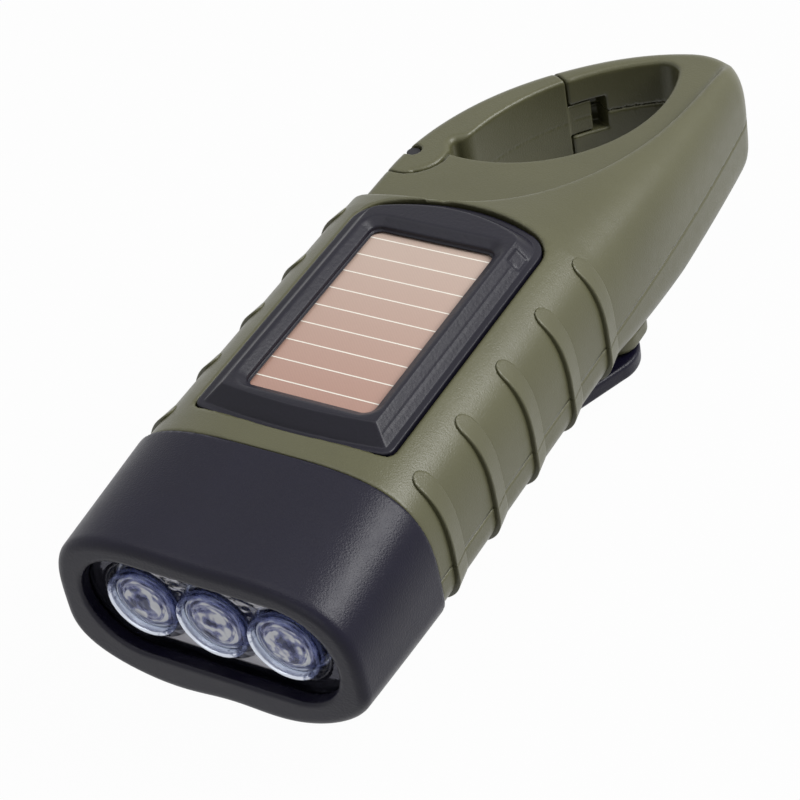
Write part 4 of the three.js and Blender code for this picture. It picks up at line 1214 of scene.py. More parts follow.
@dataclass
class BodyForm:
    """Fields of the body, shared by the shells and the gate."""

    envelope: Envelope
    flat_top: FlatTop = FlatTop()
    loop_form: Loop = Loop()
    front: float = -40.0
    gate_length: float = 30.0
    gate_turn: float = math.radians(32.0)
    knuckle: float = 6.3
    foot_radius: float = 2.2
    left_foot_radius: float = 1.2
    edge_radius: float = 0.7
    edge_growth: float = 0.3
    loop_edge: float = 0.8

    def __post_init__(self) -> None:
        """Work out the plan maps once."""
        low, high = (-30.0, -10.0), (30.0, self.envelope.length + 6.0)
        self.edge = PlanMap(line_distance(self.envelope.outline(self.front), True), low, high)
        self.middle = PlanMap(line_distance(self.envelope.middle_line(self.front), False), low, high)
        self.shoulder = PlanMap(line_distance(self.flat_top.outline(), True), low, high)
        self.loop = PlanMap(line_distance(self.loop_form.outline(), True), low, high)
        self.frame = PlanMap(line_distance(FrameForm().outline(), True), low, high)

    def section(self, where: Places) -> Points:
        """Distance to the plain body, without ribs or openings.

        Args:
            where: The places.

        Returns:
            The distances.
        """
        x, y, z = where
        form = self.envelope
        edge, middle = -self.edge(x, y), self.middle(x, y)
        wide = np.maximum(edge + middle, 1.0)
        across = np.clip(middle / wide, 0.0, 4.0)
        crown = form.crown - form.fall * np.maximum(y - form.fall_start, 0.0)
        tall = np.where(z > 0, crown, form.keel)
        power = np.where(z > 0, form.power(y, form.crown_power), form.power(y, form.keel_power))
        return oval_distance(across, wide, z, tall, power)

    def outside(self, where: Places) -> Points:
        """Distance to the plain body with its flat tail top and the open loop.

        Args:
            where: The places.

        Returns:
            The distances.
        """
        x, y, z = where
        body = self.section(where)
        left = smooth_step(-8.0, -20.0, x)
        tail = smooth_step(72.0, 95.0, y)
        cut = blend_max(self.shoulder(x, y), FACET - z, self.foot_radius + self.left_foot_radius * left)
        edge = self.edge_radius + self.edge_growth * np.maximum(2.0 * tail - left, left)
        body = blend_max(body, -cut, edge)
        return blend_max(body, -self.loop(x, y), self.loop_edge)

    def gate(self, x: Points, y: Points, gap: float) -> Points:
        """Distance in plan to the space of the gate.

        Args:
            x: Places across.
            y: Places along.
            gap: Room left round the gate.

        Returns:
            The distances.
        """
        loop = self.loop_form
        band = -disc(x, y, loop.gate, loop.gate_radius - gap)
        reach = disc(x, y, PIVOT, self.gate_length + gap)
        arm = np.maximum(np.maximum(band, reach), loop.root - y)
        return np.minimum(arm, disc(x, y, PIVOT, self.knuckle + gap))

    def tongue(self, where: Places, size: Tongue) -> Points:
        """Distance to the gate's tongue, or to the notch that takes it.

        Args:
            where: The places.
            size: Sizes of the tongue or the notch.

        Returns:
            The distances.
        """
        x, y, z = where
        ring = between(disc(x, y, PIVOT, 0.0), size.start, size.end)
        outer = disc(x, y, self.envelope.gate_centre, self.envelope.gate_radius - size.skin)
        inside = -disc(x, y, self.loop_form.gate, size.inner)
        slab = np.abs(z - PARTING) - size.half
        solid = np.maximum(np.maximum(ring, outer), np.maximum(inside, slab))
        return np.maximum(solid, PIVOT[1] + size.rise - y)


def oval_distance(across: Points, wide: Points, z: Points, tall: Points, power: Points) -> Points:
    """Distance to a rounded-square section.

    Args:
        across: Place across the section as a share of its half width.
        wide: The half width.
        z: Height above the widest plane.
        tall: Height of the section there.
        power: How square the section is.

    Returns:
        The field's value, close to a true distance near the surface.
    """
    up = np.abs(z) / tall
    total = np.maximum(across**power + up**power, 1e-6)
    size = total ** (1.0 / power)
    lean = np.hypot(across ** (power - 1.0) / wide, up ** (power - 1.0) / tall)
    slope = total ** (1.0 / power - 1.0) * lean
    return (size - 1.0) / np.maximum(slope, 1.0 / 60.0)


@dataclass(frozen=True)
class HeadForm:
    """The black head: wider at the seam than at the face, with a waist in the face."""

    length: float = 22.0
    seam: tuple[float, float, float] = (25.9, 20.3, 9.8)
    face: tuple[float, float, float] = (25.6, 17.2, 12.0)
    face_shift: float = 0.35
    waist_top: float = 0.4
    waist_bottom: float = 1.5
    waist_at: float = 1.5
    waist_width: float = 8.0
    crown_power: float = 3.5
    keel_power: float = 2.4
    face_softness: float = 0.2
    face_lean: float = 0.012
    beam: float = 4.1
    opening: Pair = (21.55, 9.2)

    def section(self, where: Places) -> Points:
        """Distance to the head's long form, without its ends.

        Args:
            where: The places.

        Returns:
            The distances.
        """
        x, y, z = where
        share = np.clip(-y / self.length, -0.4, 1.0)
        near = np.clip(share, 0, 1)
        half, crown, keel = (a + (b - a) * share for a, b in zip(self.seam, self.face))
        x = x + self.face_shift * near
        narrow = near * np.exp(-(((x - self.waist_at) / self.waist_width) ** 2))
        tall = np.where(z > 0, crown - self.waist_top * narrow, keel - self.waist_bottom * narrow)
        below = self.keel_power - (self.face_softness + self.face_lean * x) * near
        return oval_distance(np.abs(x) / half, half, z, tall, np.where(z > 0, self.crown_power, below))

    def window(self, x: Points, z: Points, grow: float = 0.0) -> Points:
        """Distance to the lamp opening, seen from the front."""
        straight = self.opening[0] - self.opening[1]
        return np.hypot(np.maximum(np.abs(x) - straight, 0.0), z - self.beam) - self.opening[1] - grow


@dataclass(frozen=True)
class FrameForm:
    """The black frame round the solar cell."""

    half_width: float = 16.6
    start: float = 6.0
    length: float = 49.6
    bow_near: float = 1.2
    bow_far: float = 4.8
    corner_near: float = 1.6
    corner_far: float = 3.2
    steps: int = 14

    def outline(self) -> Outline:
        """The plan outline of the frame: bowed ends and curved corners.

        Returns:
            The corners of the outline.
        """
        side, near, far = self.half_width, self.start, self.start + self.length
        tight, wide = self.corner_near, self.corner_far
        far_corner = far + 2 * self.bow_far * wide / side
        near_corner = near - 2 * self.bow_near * tight / side
        far_bow = 2 * (far + self.bow_far) - far_corner
        near_bow = 2 * (near - self.bow_near) - near_corner
        curves = [
            ((side, far - wide), (side, far), (side - wide, far_corner)),
            ((side - wide, far_corner), (0, far_bow), (wide - side, far_corner)),
            ((wide - side, far_corner), (-side, far), (-side, far - wide)),
            ((-side, near + tight), (-side, near), (tight - side, near_corner)),
            ((tight - side, near_corner), (0, near_bow), (side - tight, near_corner)),
            ((side - tight, near_corner), (side, near), (side, near + tight)),
        ]
        points: list[Pair] = []
        for a, b, c in curves:
            for t in np.linspace(0, 1, self.steps)[:-1]:
                points.append(tuple(
                    a[i] * (1 - t) ** 2 + 2 * b[i] * t * (1 - t) + c[i] * t * t for i in (0, 1)
                ))
            points.append(c)
        return points


@dataclass
class Shells:
    """The two olive shells that hold everything."""

    form: BodyForm
    head: HeadForm
    wall: float = 1.8
    cell: float = 0.45
    screws: tuple[Pair, ...] = ((-18.6, 24.5), (18.6, 24.5), (-14.5, 70.0), (15.5, 84.0))
    post: float = 2.8
    well: float = 2.6
    well_top: float = -4.5
    pilot: float = 1.5
    pilot_top: float = 7.5
    hollow_end: float = 74.5
    seat: Pair = (13.9, 15.9)
    seat_lap: float = 1.8
    hatch_low: float = 8.0
    frame_gap: float = 0.3
    spigot: Pair = (2.1, 3.6)
    spigot_ends: Pair = (-6.0, 1.2)
    pads: Pair = (-10.4, -7.6)
    hub: float = 12.0
    hub_bore: float = 3.3
    hub_bore_top: float = 2.0
    foot_at: float = 71.0
    foot: tuple[float, float, float] = (22.4, 5.5, 4.0)
    button_at: float = 12.6
    button_hole: Pair = (4.7, 3.4)
    button_depth: float = -15.0
    notch: Tongue = Tongue(36.8, 3.3, 1.2, 33.8)
    gate_gap: float = 0.3
    lug: float = 4.6
    lug_slab: Pair = (-1.0, 5.0)
    lug_root: float = 8.1
    pin_hole: float = 1.5
    seam_gap: float = 0.02

    def solid(self, where: Places) -> Points:
        """Distance to both shells as one piece.

        Args:
            where: The places.

        Returns:
            The distances.
        """
        x, y, z = where
        form, wall = self.form, self.wall
        body = blend_max(form.outside(where), -y, 0.25)
        roof = blend_max(form.shoulder(x, y) - wall, FACET - wall - z, 0.3)
        inner = form.section(where) + wall
        hollow = np.maximum(np.maximum(inner, y - self.hollow_end), -roof)
        posts = np.minimum.reduce([disc(x, y, at, self.post) for at in self.screws])
        hollow = np.maximum(hollow, -posts)
        frame = form.frame(x, y)
        seat_low, seat_high = self.seat
        seat = np.maximum(frame - self.seat_lap, between(z, seat_low, seat_high))
        body = np.minimum(np.maximum(body, -hollow), np.maximum(seat, inner))
        body = blend_max(body, -np.maximum(frame - self.frame_gap, seat_high - z), 0.35)
        body = np.maximum(body, -np.maximum(frame + self.seat_lap, self.hatch_low - z))
        body = np.minimum(body, self._spigot(where))
        body = self._underside(body, where)
        return self._tail(body, where)

    def _spigot(self, where: Places) -> Points:
        """Distance to the wall that reaches into the head.

        Args:
            where: The places.

        Returns:
            The distances.
        """
        y = where[1]
        outer, inner = self.spigot
        skin = self.head.section(where)
        return np.maximum(np.maximum(skin + outer, -skin - inner), between(y, *self.spigot_ends))

    def _underside(self, body: Points, where: Places) -> Points:
        """Add the hub boss and the foot, and cut the bore, the screw wells and the button hole.

        Args:
            body: Distances so far.
            where: The places.

        Returns:
            The distances.
        """
        x, y, z = where
        low, high = self.pads
        axis = (0.0, CRANK_ALONG)
        hub = np.maximum(disc(x, y, axis, self.hub), between(z, low, high))
        foot = np.maximum(rounded_box(x, y - self.foot_at, *self.foot), between(z, low, high))
        body = blend_min(body, blend_max(hub, low - z, 0.3), 0.6)
        body = blend_min(body, blend_max(foot, low - z, 0.5), 0.6)
        body = np.maximum(body, -np.maximum(disc(x, y, axis, self.hub_bore), z - self.hub_bore_top))
        for at in self.screws:
            body = blend_max(body, -np.maximum(disc(x, y, at, self.well), z - self.well_top), 0.3)
            body = np.maximum(body, -np.maximum(disc(x, y, at, self.pilot), z - self.pilot_top))
        long, tall = self.button_hole
        oval = (np.hypot((y - self.button_at) / long, (z - PARTING) / tall) - 1.0) * 3.7
        return blend_max(body, -np.maximum(oval, x - self.button_depth), 0.3)

    def _tail(self, body: Points, where: Places) -> Points:
        """Cut the gate's space and its notch, and add the lug for its pin.

        Args:
            body: Distances so far.
            where: The places.

        Returns:
            The distances.
        """
        x, y, z = where
        form = self.form
        body = np.maximum(body, -form.tongue(where, self.notch))
        body = blend_max(body, -form.gate(x, y, self.gate_gap), 0.25)
        eye = disc(x, y, PIVOT, self.lug)
        root = np.maximum(np.abs(x - PIVOT[0]) - self.lug, between(y, PIVOT[1] - self.lug_root, PIVOT[1]))
        lug = np.maximum(np.minimum(eye, root), between(z, *self.lug_slab))
        lug = np.maximum(np.maximum(lug, form.section(where)), -disc(x, y, PIVOT, self.pin_hole))
        return np.minimum(body, lug)

    def top(self, where: Places) -> Points:
        """Distance to the upper shell."""
        z = where[2]
        return blend_max(self.solid(where), PARTING + self.seam_gap - z, 0.1)

    def bottom(self, where: Places) -> Points:
        """Distance to the lower shell."""
        z = where[2]
        return blend_max(self.solid(where), z - PARTING + self.seam_gap, 0.1)

    def build(self, shop: Workshop) -> None:
        """Mesh and place the two shells.

        Args:
            shop: Makes the pieces.
        """
        end = self.form.envelope.length
        low, high = (-26.4, -6.2, PARTING), (26.4, end, 20.6)
        seat = ("case", "olive_plastic", "top_shell")
        shop.skin("top_shell_skin", self.top, low, high, self.cell, Finish.OLIVE, seat)
        low, high = (-26.4, -6.2, -10.6), (26.4, end, PARTING)
        seat = ("case", "olive_plastic", "bottom_shell")
        shop.skin("bottom_shell_skin", self.bottom, low, high, self.cell, Finish.OLIVE, seat)


@dataclass
class GripRibs:
    """The five ribs on each flank, which rise towards the head and fade to the tail."""

    form: BodyForm
    first: float = 5.8
    pitch: float = 12.67
    count: int = 5
    width: float = 3.6
    start: float = 20.4
    full: float = 25.0
    height: float = 0.75
    root: float = 0.8
    crest_room: float = 0.5
    seam_gap: float = 0.06
    cell: float = 0.22

    def solid(self, where: Places) -> Points:
        """Distance to the ribs, each steep towards the head and nearly flush behind.

        Args:
            where: The places.

        Returns:
            The distances.
        """
        x, y, z = where
        half = self.width / 2
        number = np.clip(np.round((y - self.first) / self.pitch), 0, self.count - 1)
        along = y - self.first - number * self.pitch
        beyond = np.abs(x) - self.start - half
        plan = np.where(beyond > 0, np.abs(along) - half, np.hypot(beyond, along) - half)
        top = smooth_step(self.start, self.full, np.abs(x))
        fall = 0.55 - 0.4 * np.clip(along / half, -1.0, 1.0)
        skin = self.form.section(where)
        bar = blend_max(skin - self.height * (0.5 + 0.5 * top) * fall, plan, 0.16)
        removed = np.maximum(self.form.shoulder(x, y), FACET - z)
        bar = blend_max(bar, self.crest_room - removed, 0.3)
        bar = np.maximum(bar, -self.root - skin)
        return blend_max(bar, self.seam_gap - np.abs(z - PARTING), 0.1)

    def build(self, shop: Workshop) -> None:
        """Mesh and place the ribs of each flank.

        Args:
            shop: Makes the pieces.
        """
        for name, near, far in (("left", -26.6, -20.0), ("right", 20.0, 26.6)):
            low, high = (near, 3.6, -10.0), (far, 58.6, 18.6)
            seat = ("case", "olive_plastic")
            shop.skin(f"grip_ribs_{name}", self.solid, low, high, self.cell, Finish.OLIVE, seat)


@dataclass
class Gate:
    """The sprung gate of the carabiner."""

    form: BodyForm
    cell: float = 0.3
    slot: float = 6.8
    slot_slab: Pair = (-4.3, 5.3)
    pin_hole: float = 1.5
    tongue: Tongue = Tongue(34.2, 3.0, 1.8, 39.1)
    heel_gap: float = 0.35
    heel_round: float = 1.5
    heel_edge: float = 1.2
    seam_depth: float = 0.12
    seam_half: float = 0.1

    def solid(self, where: Places) -> Points:
        """Distance to the gate.

        Args:
            where: The places.

        Returns:
            The distances.
        """
        x, y, z = where
        form = self.form
        body = blend_max(form.outside(where), form.gate(x, y, 0.0), 0.3)
        slot = np.maximum(disc(x, y, PIVOT, self.slot), between(z, *self.slot_slab))
        body = np.maximum(np.maximum(body, -slot), -disc(x, y, PIVOT, self.pin_hole))
        tongue = form.tongue(where, self.tongue)
        body = np.minimum(body, np.maximum(tongue, form.section(where)))
        body = blend_max(body, -self._heel_room(x, y), self.heel_edge)
        line = np.abs(z - PARTING) + np.maximum(body + self.seam_depth, 0.0)
        return np.maximum(body, self.seam_half - line)

    def _heel_room(self, x: Points, y: Points) -> Points:
        """Distance in plan to what the heel would strike the shells with when the gate opens.

        Args:
            x: Places across.
            y: Places along.

        Returns:
            The distances.
        """
        turn = self.form.gate_turn
        dx, dy = x - PIVOT[0], y - PIVOT[1]
        along = dx * math.cos(turn) + dy * math.sin(turn)
        across = dy * math.cos(turn) - dx * math.sin(turn)
        below = across - self.form.loop_form.root + PIVOT[1] - self.heel_gap
        return np.maximum(blend_max(below, self.form.knuckle - np.hypot(dx, dy), self.heel_round), -along)

    def build(self, shop: Workshop) -> None:
        """Mesh and place the gate.

        Args:
            shop: Makes the pieces.
        """
        low, high = (-25.6, 75.0, -9.6), (-3.0, 113.0, 10.8)
        seat = ("gate", "olive_plastic", "carabiner_gate")
        shop.skin("gate_skin", self.solid, low, high, self.cell, Finish.OLIVE, seat)


# Head


@dataclass
class Bezel:
    """The black head with its lamp opening."""

    form: HeadForm
    wall: float = 1.8
    face_wall: float = 2.4
    face_edge: float = 1.5
    seam_gap: float = 0.15
    cell: float = 0.4

    def solid(self, where: Places) -> Points:
        """Distance to the black bezel.

        Args:
            where: The places.

        Returns:
            The distances.
        """
        x, y, z = where
        form = self.form
        body = blend_max(form.section(where), -form.length - y, self.face_edge)
        body = blend_max(body, y + self.seam_gap, 0.3)
        hollow = np.maximum(form.section(where) + self.wall, self.face_wall - form.length - y)
        body = np.maximum(body, -hollow)
        return blend_max(body, -form.window(x, z), 0.3)

    def build(self, shop: Workshop) -> None:
        """Mesh and place the bezel.

        Args:
            shop: Makes the pieces.
        """
        low, high = (-26.1, -22.0, -11.0), (26.1, 0.0, 20.4)
        seat = ("case", "black_plastic", "head_bezel")
        shop.skin("bezel_skin", self.solid, low, high, self.cell, Finish.BLACK, seat)


@dataclass
class LampRow:
    """What the window and the reflector share: three lamps in a row."""

    form: HeadForm
    pitch: float = LAMP_PITCH

    def reach(self, x: Points, z: Points) -> Points:
        """Distance in the front view from the nearest lamp axis."""
        centre = np.clip(np.round(x / self.pitch), -1, 1) * self.pitch
        return np.hypot(x - centre, z - self.form.beam)

    def scallop(self, x: Points, z: Points, radius: float) -> Points:
        """Distance in the front view to three joined rounds about the lamps.

        Args:
            x: Places across.
            z: Heights.
            radius: Radius of each round.

        Returns:
            The distances.
        """
        rounds = disc(x, z, (0.0, self.form.beam), radius)
        for side in (-1, 1):
            rounds = blend_min(rounds, disc(x, z, (side * self.pitch, self.form.beam), radius), 2.2)
        return rounds


@dataclass
class LampWindow:
    """The clear window with a ring and a dome before each lamp."""

    row: LampRow
    front: float = -19.3
    plate: float = 1.2
    lap: float = 1.1
    ridge: float = 6.9
    ridge_half: float = 0.22
    rim: float = 5.55
    rim_half: float = 0.38
    rim_rise: float = 1.6
    dome: float = 5.1
    dome_rise: float = 1.05
    dome_base: float = 0.35

    def panel(self, where: Places) -> Points:
        """Distance to the clear window: a plate with a scalloped ridge.

        Args:
            where: The places.

        Returns:
            The distances.
        """
        x, y, z = where
        front = self.front
        plate = blend_max(self.row.form.window(x, z, self.lap), between(y, front, front + self.plate), 0.2)
        band = np.abs(self.row.scallop(x, z, self.ridge)) - self.ridge_half
        return np.minimum(plate, blend_max(band, between(y, front - 0.35, front + 0.6), 0.15))

    def rims(self, where: Places) -> Points:
        """Distance to the raised ring of each lamp on the window.

        Args:
            where: The places.

        Returns:
            The distances.
        """
        x, y, z = where
        ring = np.abs(self.row.reach(x, z) - self.rim) - self.rim_half
        return blend_max(ring, between(y, self.front - self.rim_rise, self.front - 0.02), 0.3)

    def domes(self, where: Places) -> Points:
        """Distance to the shallow dome inside each ring.

        Args:
            where: The places.

        Returns:
            The distances.
        """
        x, y, z = where
        reach = self.row.reach(x, z)
        bulge = np.clip(1.0 - (reach / (self.dome + 0.1)) ** 2, -0.2, 1.0)
        top = self.front - self.dome_base - self.dome_rise * bulge
        column = np.maximum(reach - self.dome, y - self.front + 0.03)
        return blend_max(column, (top - y) * 0.92, 0.15)

    def build(self, shop: Workshop) -> None:
        """Mesh and place the window, its rings and its domes.

        Args:
            shop: Makes the pieces.
        """
        low, high = (-22.7, -21.0, -6.3), (22.7, -18.0, 14.5)
        seat = ("case", "clear_plastic", "lens_window")
        shop.skin("window_panel", self.panel, low, high, 0.25, Finish.WINDOW, seat)
        low, high = (-18.0, -21.0, -2.0), (18.0, -19.2, 10.2)
        shop.skin("window_rims", self.rims, low, high, 0.2, Finish.RIM, ("case", "clear_plastic"))
        low, high = (-17.4, -20.9, -1.3), (17.4, -19.2, 9.5)
        shop.skin("window_domes", self.domes, low, high, 0.2, Finish.LENS, ("case", "clear_plastic"))


@dataclass
class Reflector:
    """Three mirrored cups in a flange."""

    row: LampRow
    front: float = -17.8
    flange: float = 1.0
    depth: float = 7.2
    scallop: float = 6.45
    step: float = 0.9
    step_depth: float = 0.55
    throat: float = 3.0
    flare: float = 2.4
    ripple: float = 0.08
    ripple_pitch: float = 1.2
    cell: float = 0.22

    def solid(self, where: Places) -> Points:
        """Distance to the reflector: three ringed cups in a flat flange with a scalloped step.

        Args:
            where: The places.

        Returns:
            The distances.
        """
        x, y, z = where
        form = self.row.form
        depth = y - self.front
        scallop = self.row.scallop(x, z, self.scallop)
        flange = np.maximum(form.window(x, z, -0.3), between(depth, 0.0, self.flange))
        step = blend_max(scallop - self.step, depth - self.step_depth, 0.2)
        column = np.maximum(scallop, form.window(x, z, -0.5))
        block = blend_max(column, between(depth, 0.05, self.depth), 0.3)
        body = np.minimum(np.maximum(flange, -np.maximum(step, -scallop)), block)
        share = np.clip(depth / self.depth, -0.3, 1.2)
        ripple = self.ripple * np.cos(2 * math.pi * depth / self.ripple_pitch)
        bowl = self.throat + self.flare * np.sqrt(np.maximum(1.0 - share, 0.0)) + ripple
        lip = smooth_step(0.7, -0.2, depth) * 0.3
        return np.maximum(body, (bowl + lip - self.row.reach(x, z)) * 0.85)

    def build(self, shop: Workshop) -> None:
        """Mesh and place the reflector.

        Args:
            shop: Makes the pieces.
        """
        low, high = (-21.4, -17.9, -5.0), (21.4, -10.6, 13.2)
        seat = ("case", "chrome_plating", "reflector")
        shop.skin("reflector_cups", self.solid, low, high, self.cell, Finish.CUPS, seat)


@dataclass
class Lamps:
    """The three clear lamps with their posts inside."""

    row: LampRow
    back: float = -10.6
    radius: float = 2.5
    flange: float = 2.85
    flange_height: float = 1.0
    straight: float = 3.9

    def lamp(self, where: Places) -> Points:
        """Distance to one clear lamp about its own axis, standing on its flange.

        Args:
            where: The places.

        Returns:
            The distances.
        """
        x, y, z = where
        reach = np.hypot(x, y)
        stem = np.maximum(reach - self.radius, between(z, 0.5, self.straight))
        dome = np.sqrt(x * x + y * y + (z - self.straight) ** 2) - self.radius
        flange = blend_max(reach - self.flange, between(z, 0.0, self.flange_height), 0.15)
        return np.minimum(np.minimum(stem, np.maximum(dome, self.straight - z)), flange)

    def die(self, where: Places) -> Points:
        """Distance to the two posts and the cup inside a lamp.

        Args:
            where: The places.

        Returns:
            The distances.
        """
        x, y, z = where
        anvil = np.maximum(np.maximum(np.abs(x + 0.75) - 0.55, np.abs(y) - 0.5), between(z, 0.3, 3.0))
        cup = np.maximum(np.hypot(x + 0.2, y) - 0.35 - (z - 2.6) * 0.7, between(z, 2.6, 3.5))
        bowl = 2.9 - z + np.hypot(x + 0.2, y) * 0.9
        post = np.maximum(np.maximum(np.abs(x - 0.95) - 0.3, np.abs(y) - 0.4), between(z, 0.3, 3.2))
        return np.minimum(np.minimum(anvil, np.maximum(cup, -bowl)), post)

    def build(self, shop: Workshop) -> None:
        """Mesh and place each lamp and its posts.

        Args:
            shop: Makes the pieces.
        """
        for name, side in (("left", -1), ("middle", 0), ("right", 1)):
            place = Matrix.Translation((side * self.row.pitch, self.back, self.row.form.beam))
            turn = place @ Matrix.Rotation(math.pi / 2, 4, "X")
            seat = ("case", "clear_plastic", f"led_{name}")
            shop.skin(f"lamp_{name}", self.lamp, (-3, -3, 0), (3, 3, 6.5), 0.18, Finish.LAMP, seat, turn)
            low, high = (-1.5, -1.2, 0.2), (1.5, 1.2, 3.6)
            shop.skin(f"lamp_die_{name}", self.die, low, high, 0.1, Finish.STEEL, ("case", "steel"), turn)


# Solar panel


@dataclass
class SolarPanel:
    """The black frame and the cell in it."""

    form: BodyForm
    cell_half: float = 10.5
    cell_start: float = 11.55
    cell_length: float = 38.7
    cell_top: float = 19.3
    cell_corner: float = 1.3
    plate: float = 1.0
    lap: float = 0.9
    strip: float = 4.3
    strips: int = 10
    first_line: float = 3.0
    line_half: float = 0.12
    line_height: float = 0.02
    rim: float = 18.9
    rim_width: float = 1.1
    skirt: float = 2.7
    ridge: float = 21.5
    outer_slope: float = 1.04
    inner_slope: float = 0.62
    inner_edge: float = 20.2
    ledge: float = 0.4
    ledge_top: float = 19.75
    rebate: float = 1.2
    rebate_top: float = 19.6
    groove_at: float = 14.4
    groove: Pair = (8.4, 49.0)
    groove_half: float = 0.12
    groove_depth: float = 0.06
    pocket_at: float = 50.2
    pocket: tuple[float, float, float] = (0.85, 1.5, 0.2)
    pocket_depth: float = 0.2

    @property
    def cell_middle(self) -> float:
        """Middle of the cell along the body."""
        return self.cell_start + self.cell_length / 2

    def _cell_plan(self, x: Points, y: Points, grow: float, corner: float) -> Points:
        """Distance in plan to the cell's rectangle, made larger all round."""
        half_length = self.cell_length / 2 + grow
        return rounded_box(x, y - self.cell_middle, self.cell_half + grow, half_length, corner)

    def frame(self, where: Places) -> Points:
        """Distance to the frame.

        Args:
            where: The places.

        Returns:
            The distances.
        """
        x, y, z = where
        edge = self.form.frame(x, y)
        inward = -edge - self.rim_width
        slope = (z - self.rim - inward * self.outer_slope) * 0.69
        roof = np.minimum(np.maximum(slope, z - self.ridge), z - self.rim)
        body = blend_max(edge, self.rim - self.skirt - z, 0.1)
        body = blend_max(body, np.where(inward < 0, z - self.rim, roof), 0.16)
        body = blend_max(body, z - self.ridge, 0.2)
        sight = self._cell_plan(x, y, 0.0, self.cell_corner)
        body = blend_max(body, (z - self.inner_edge - sight * self.inner_slope) * 0.85, 0.22)
        ledge = np.maximum(sight - self.ledge, self.ledge_top - z)
        body = blend_max(body, -np.minimum(sight, ledge), 0.1)
        rebate = self._cell_plan(x, y, self.rebate, 0.8)
        body = np.maximum(body, -np.maximum(rebate, z - self.rebate_top))
        return self._marks(body, x, y)

    def _marks(self, body: Points, x: Points, y: Points) -> Points:
        """Cut the groove and the shallow pocket in the right bar.

        Args:
            body: Distances so far.
            x: Places across.
            y: Places along.

        Returns:
            The distances.
        """
        across = x - self.groove_at
        groove = np.maximum(np.abs(across) - self.groove_half, between(y, *self.groove))
        body = np.maximum(body, -np.maximum(groove, -self.groove_depth - body))
        pocket = rounded_box(across, y - self.pocket_at, *self.pocket)
        return np.maximum(body, -np.maximum(pocket, -self.pocket_depth - body))

    def film(self, where: Places) -> Points:
        """Distance to the cell's plate.

        Args:
            where: The places.

        Returns:
            The distances.
        """
        x, y, z = where
        slab = between(z, self.cell_top - self.plate, self.cell_top)
        return blend_max(self._cell_plan(x, y, self.lap, 0.6), slab, 0.15)

    def build(self, shop: Workshop) -> None:
        """Mesh and place the frame, the cell and its printed lines.

        Args:
            shop: Makes the pieces.
        """
        low, high = (-16.8, 4.6, 16.1), (16.8, 61.0, 21.6)
        seat = ("case", "frame_plastic", "solar_frame")
        shop.skin("frame_skin", self.frame, low, high, 0.24, Finish.FRAME, seat)
        low, high = (-11.5, 10.5, 18.2), (11.5, 51.3, 19.4)
        seat = ("case", "solar_film", "solar_cell")
        shop.skin("cell_film", self.film, low, high, 0.3, Finish.FILM, seat)
        shop.seat(self._lines(shop), "case", "solar_film")

    def _lines(self, shop: Workshop) -> bpy.types.Object:
        """The pale lines between the strips of the cell, as thin raised bars.

        Args:
            shop: Makes the pieces.

        Returns:
            The object that holds the lines.
        """
        points: list[tuple[float, float, float]] = []
        faces: list[list[int]] = []
        end = self.cell_half + 0.4
        profile = ((-1.0, 0.0), (-0.9, 1.0), (0.9, 1.0), (1.0, 0.0))
        for number in range(self.strips - 1):
            along = self.cell_start + self.first_line + number * self.strip
            base = len(points)
            for x in (-end, end):
                for across, up in profile:
                    y = along + across * self.line_half
                    points.append((x, y, self.cell_top + up * self.line_height))
            for k in range(4):
                after = (k + 1) % 4
                faces.append([base + k, base + after, base + 4 + after, base + 4 + k])
            faces += [[base + 3, base + 2, base + 1, base], [base + 4, base + 5, base + 6, base + 7]]
        return shop.mesh("cell_lines", points, faces, Finish.SILVER, smooth=False)


# Crank


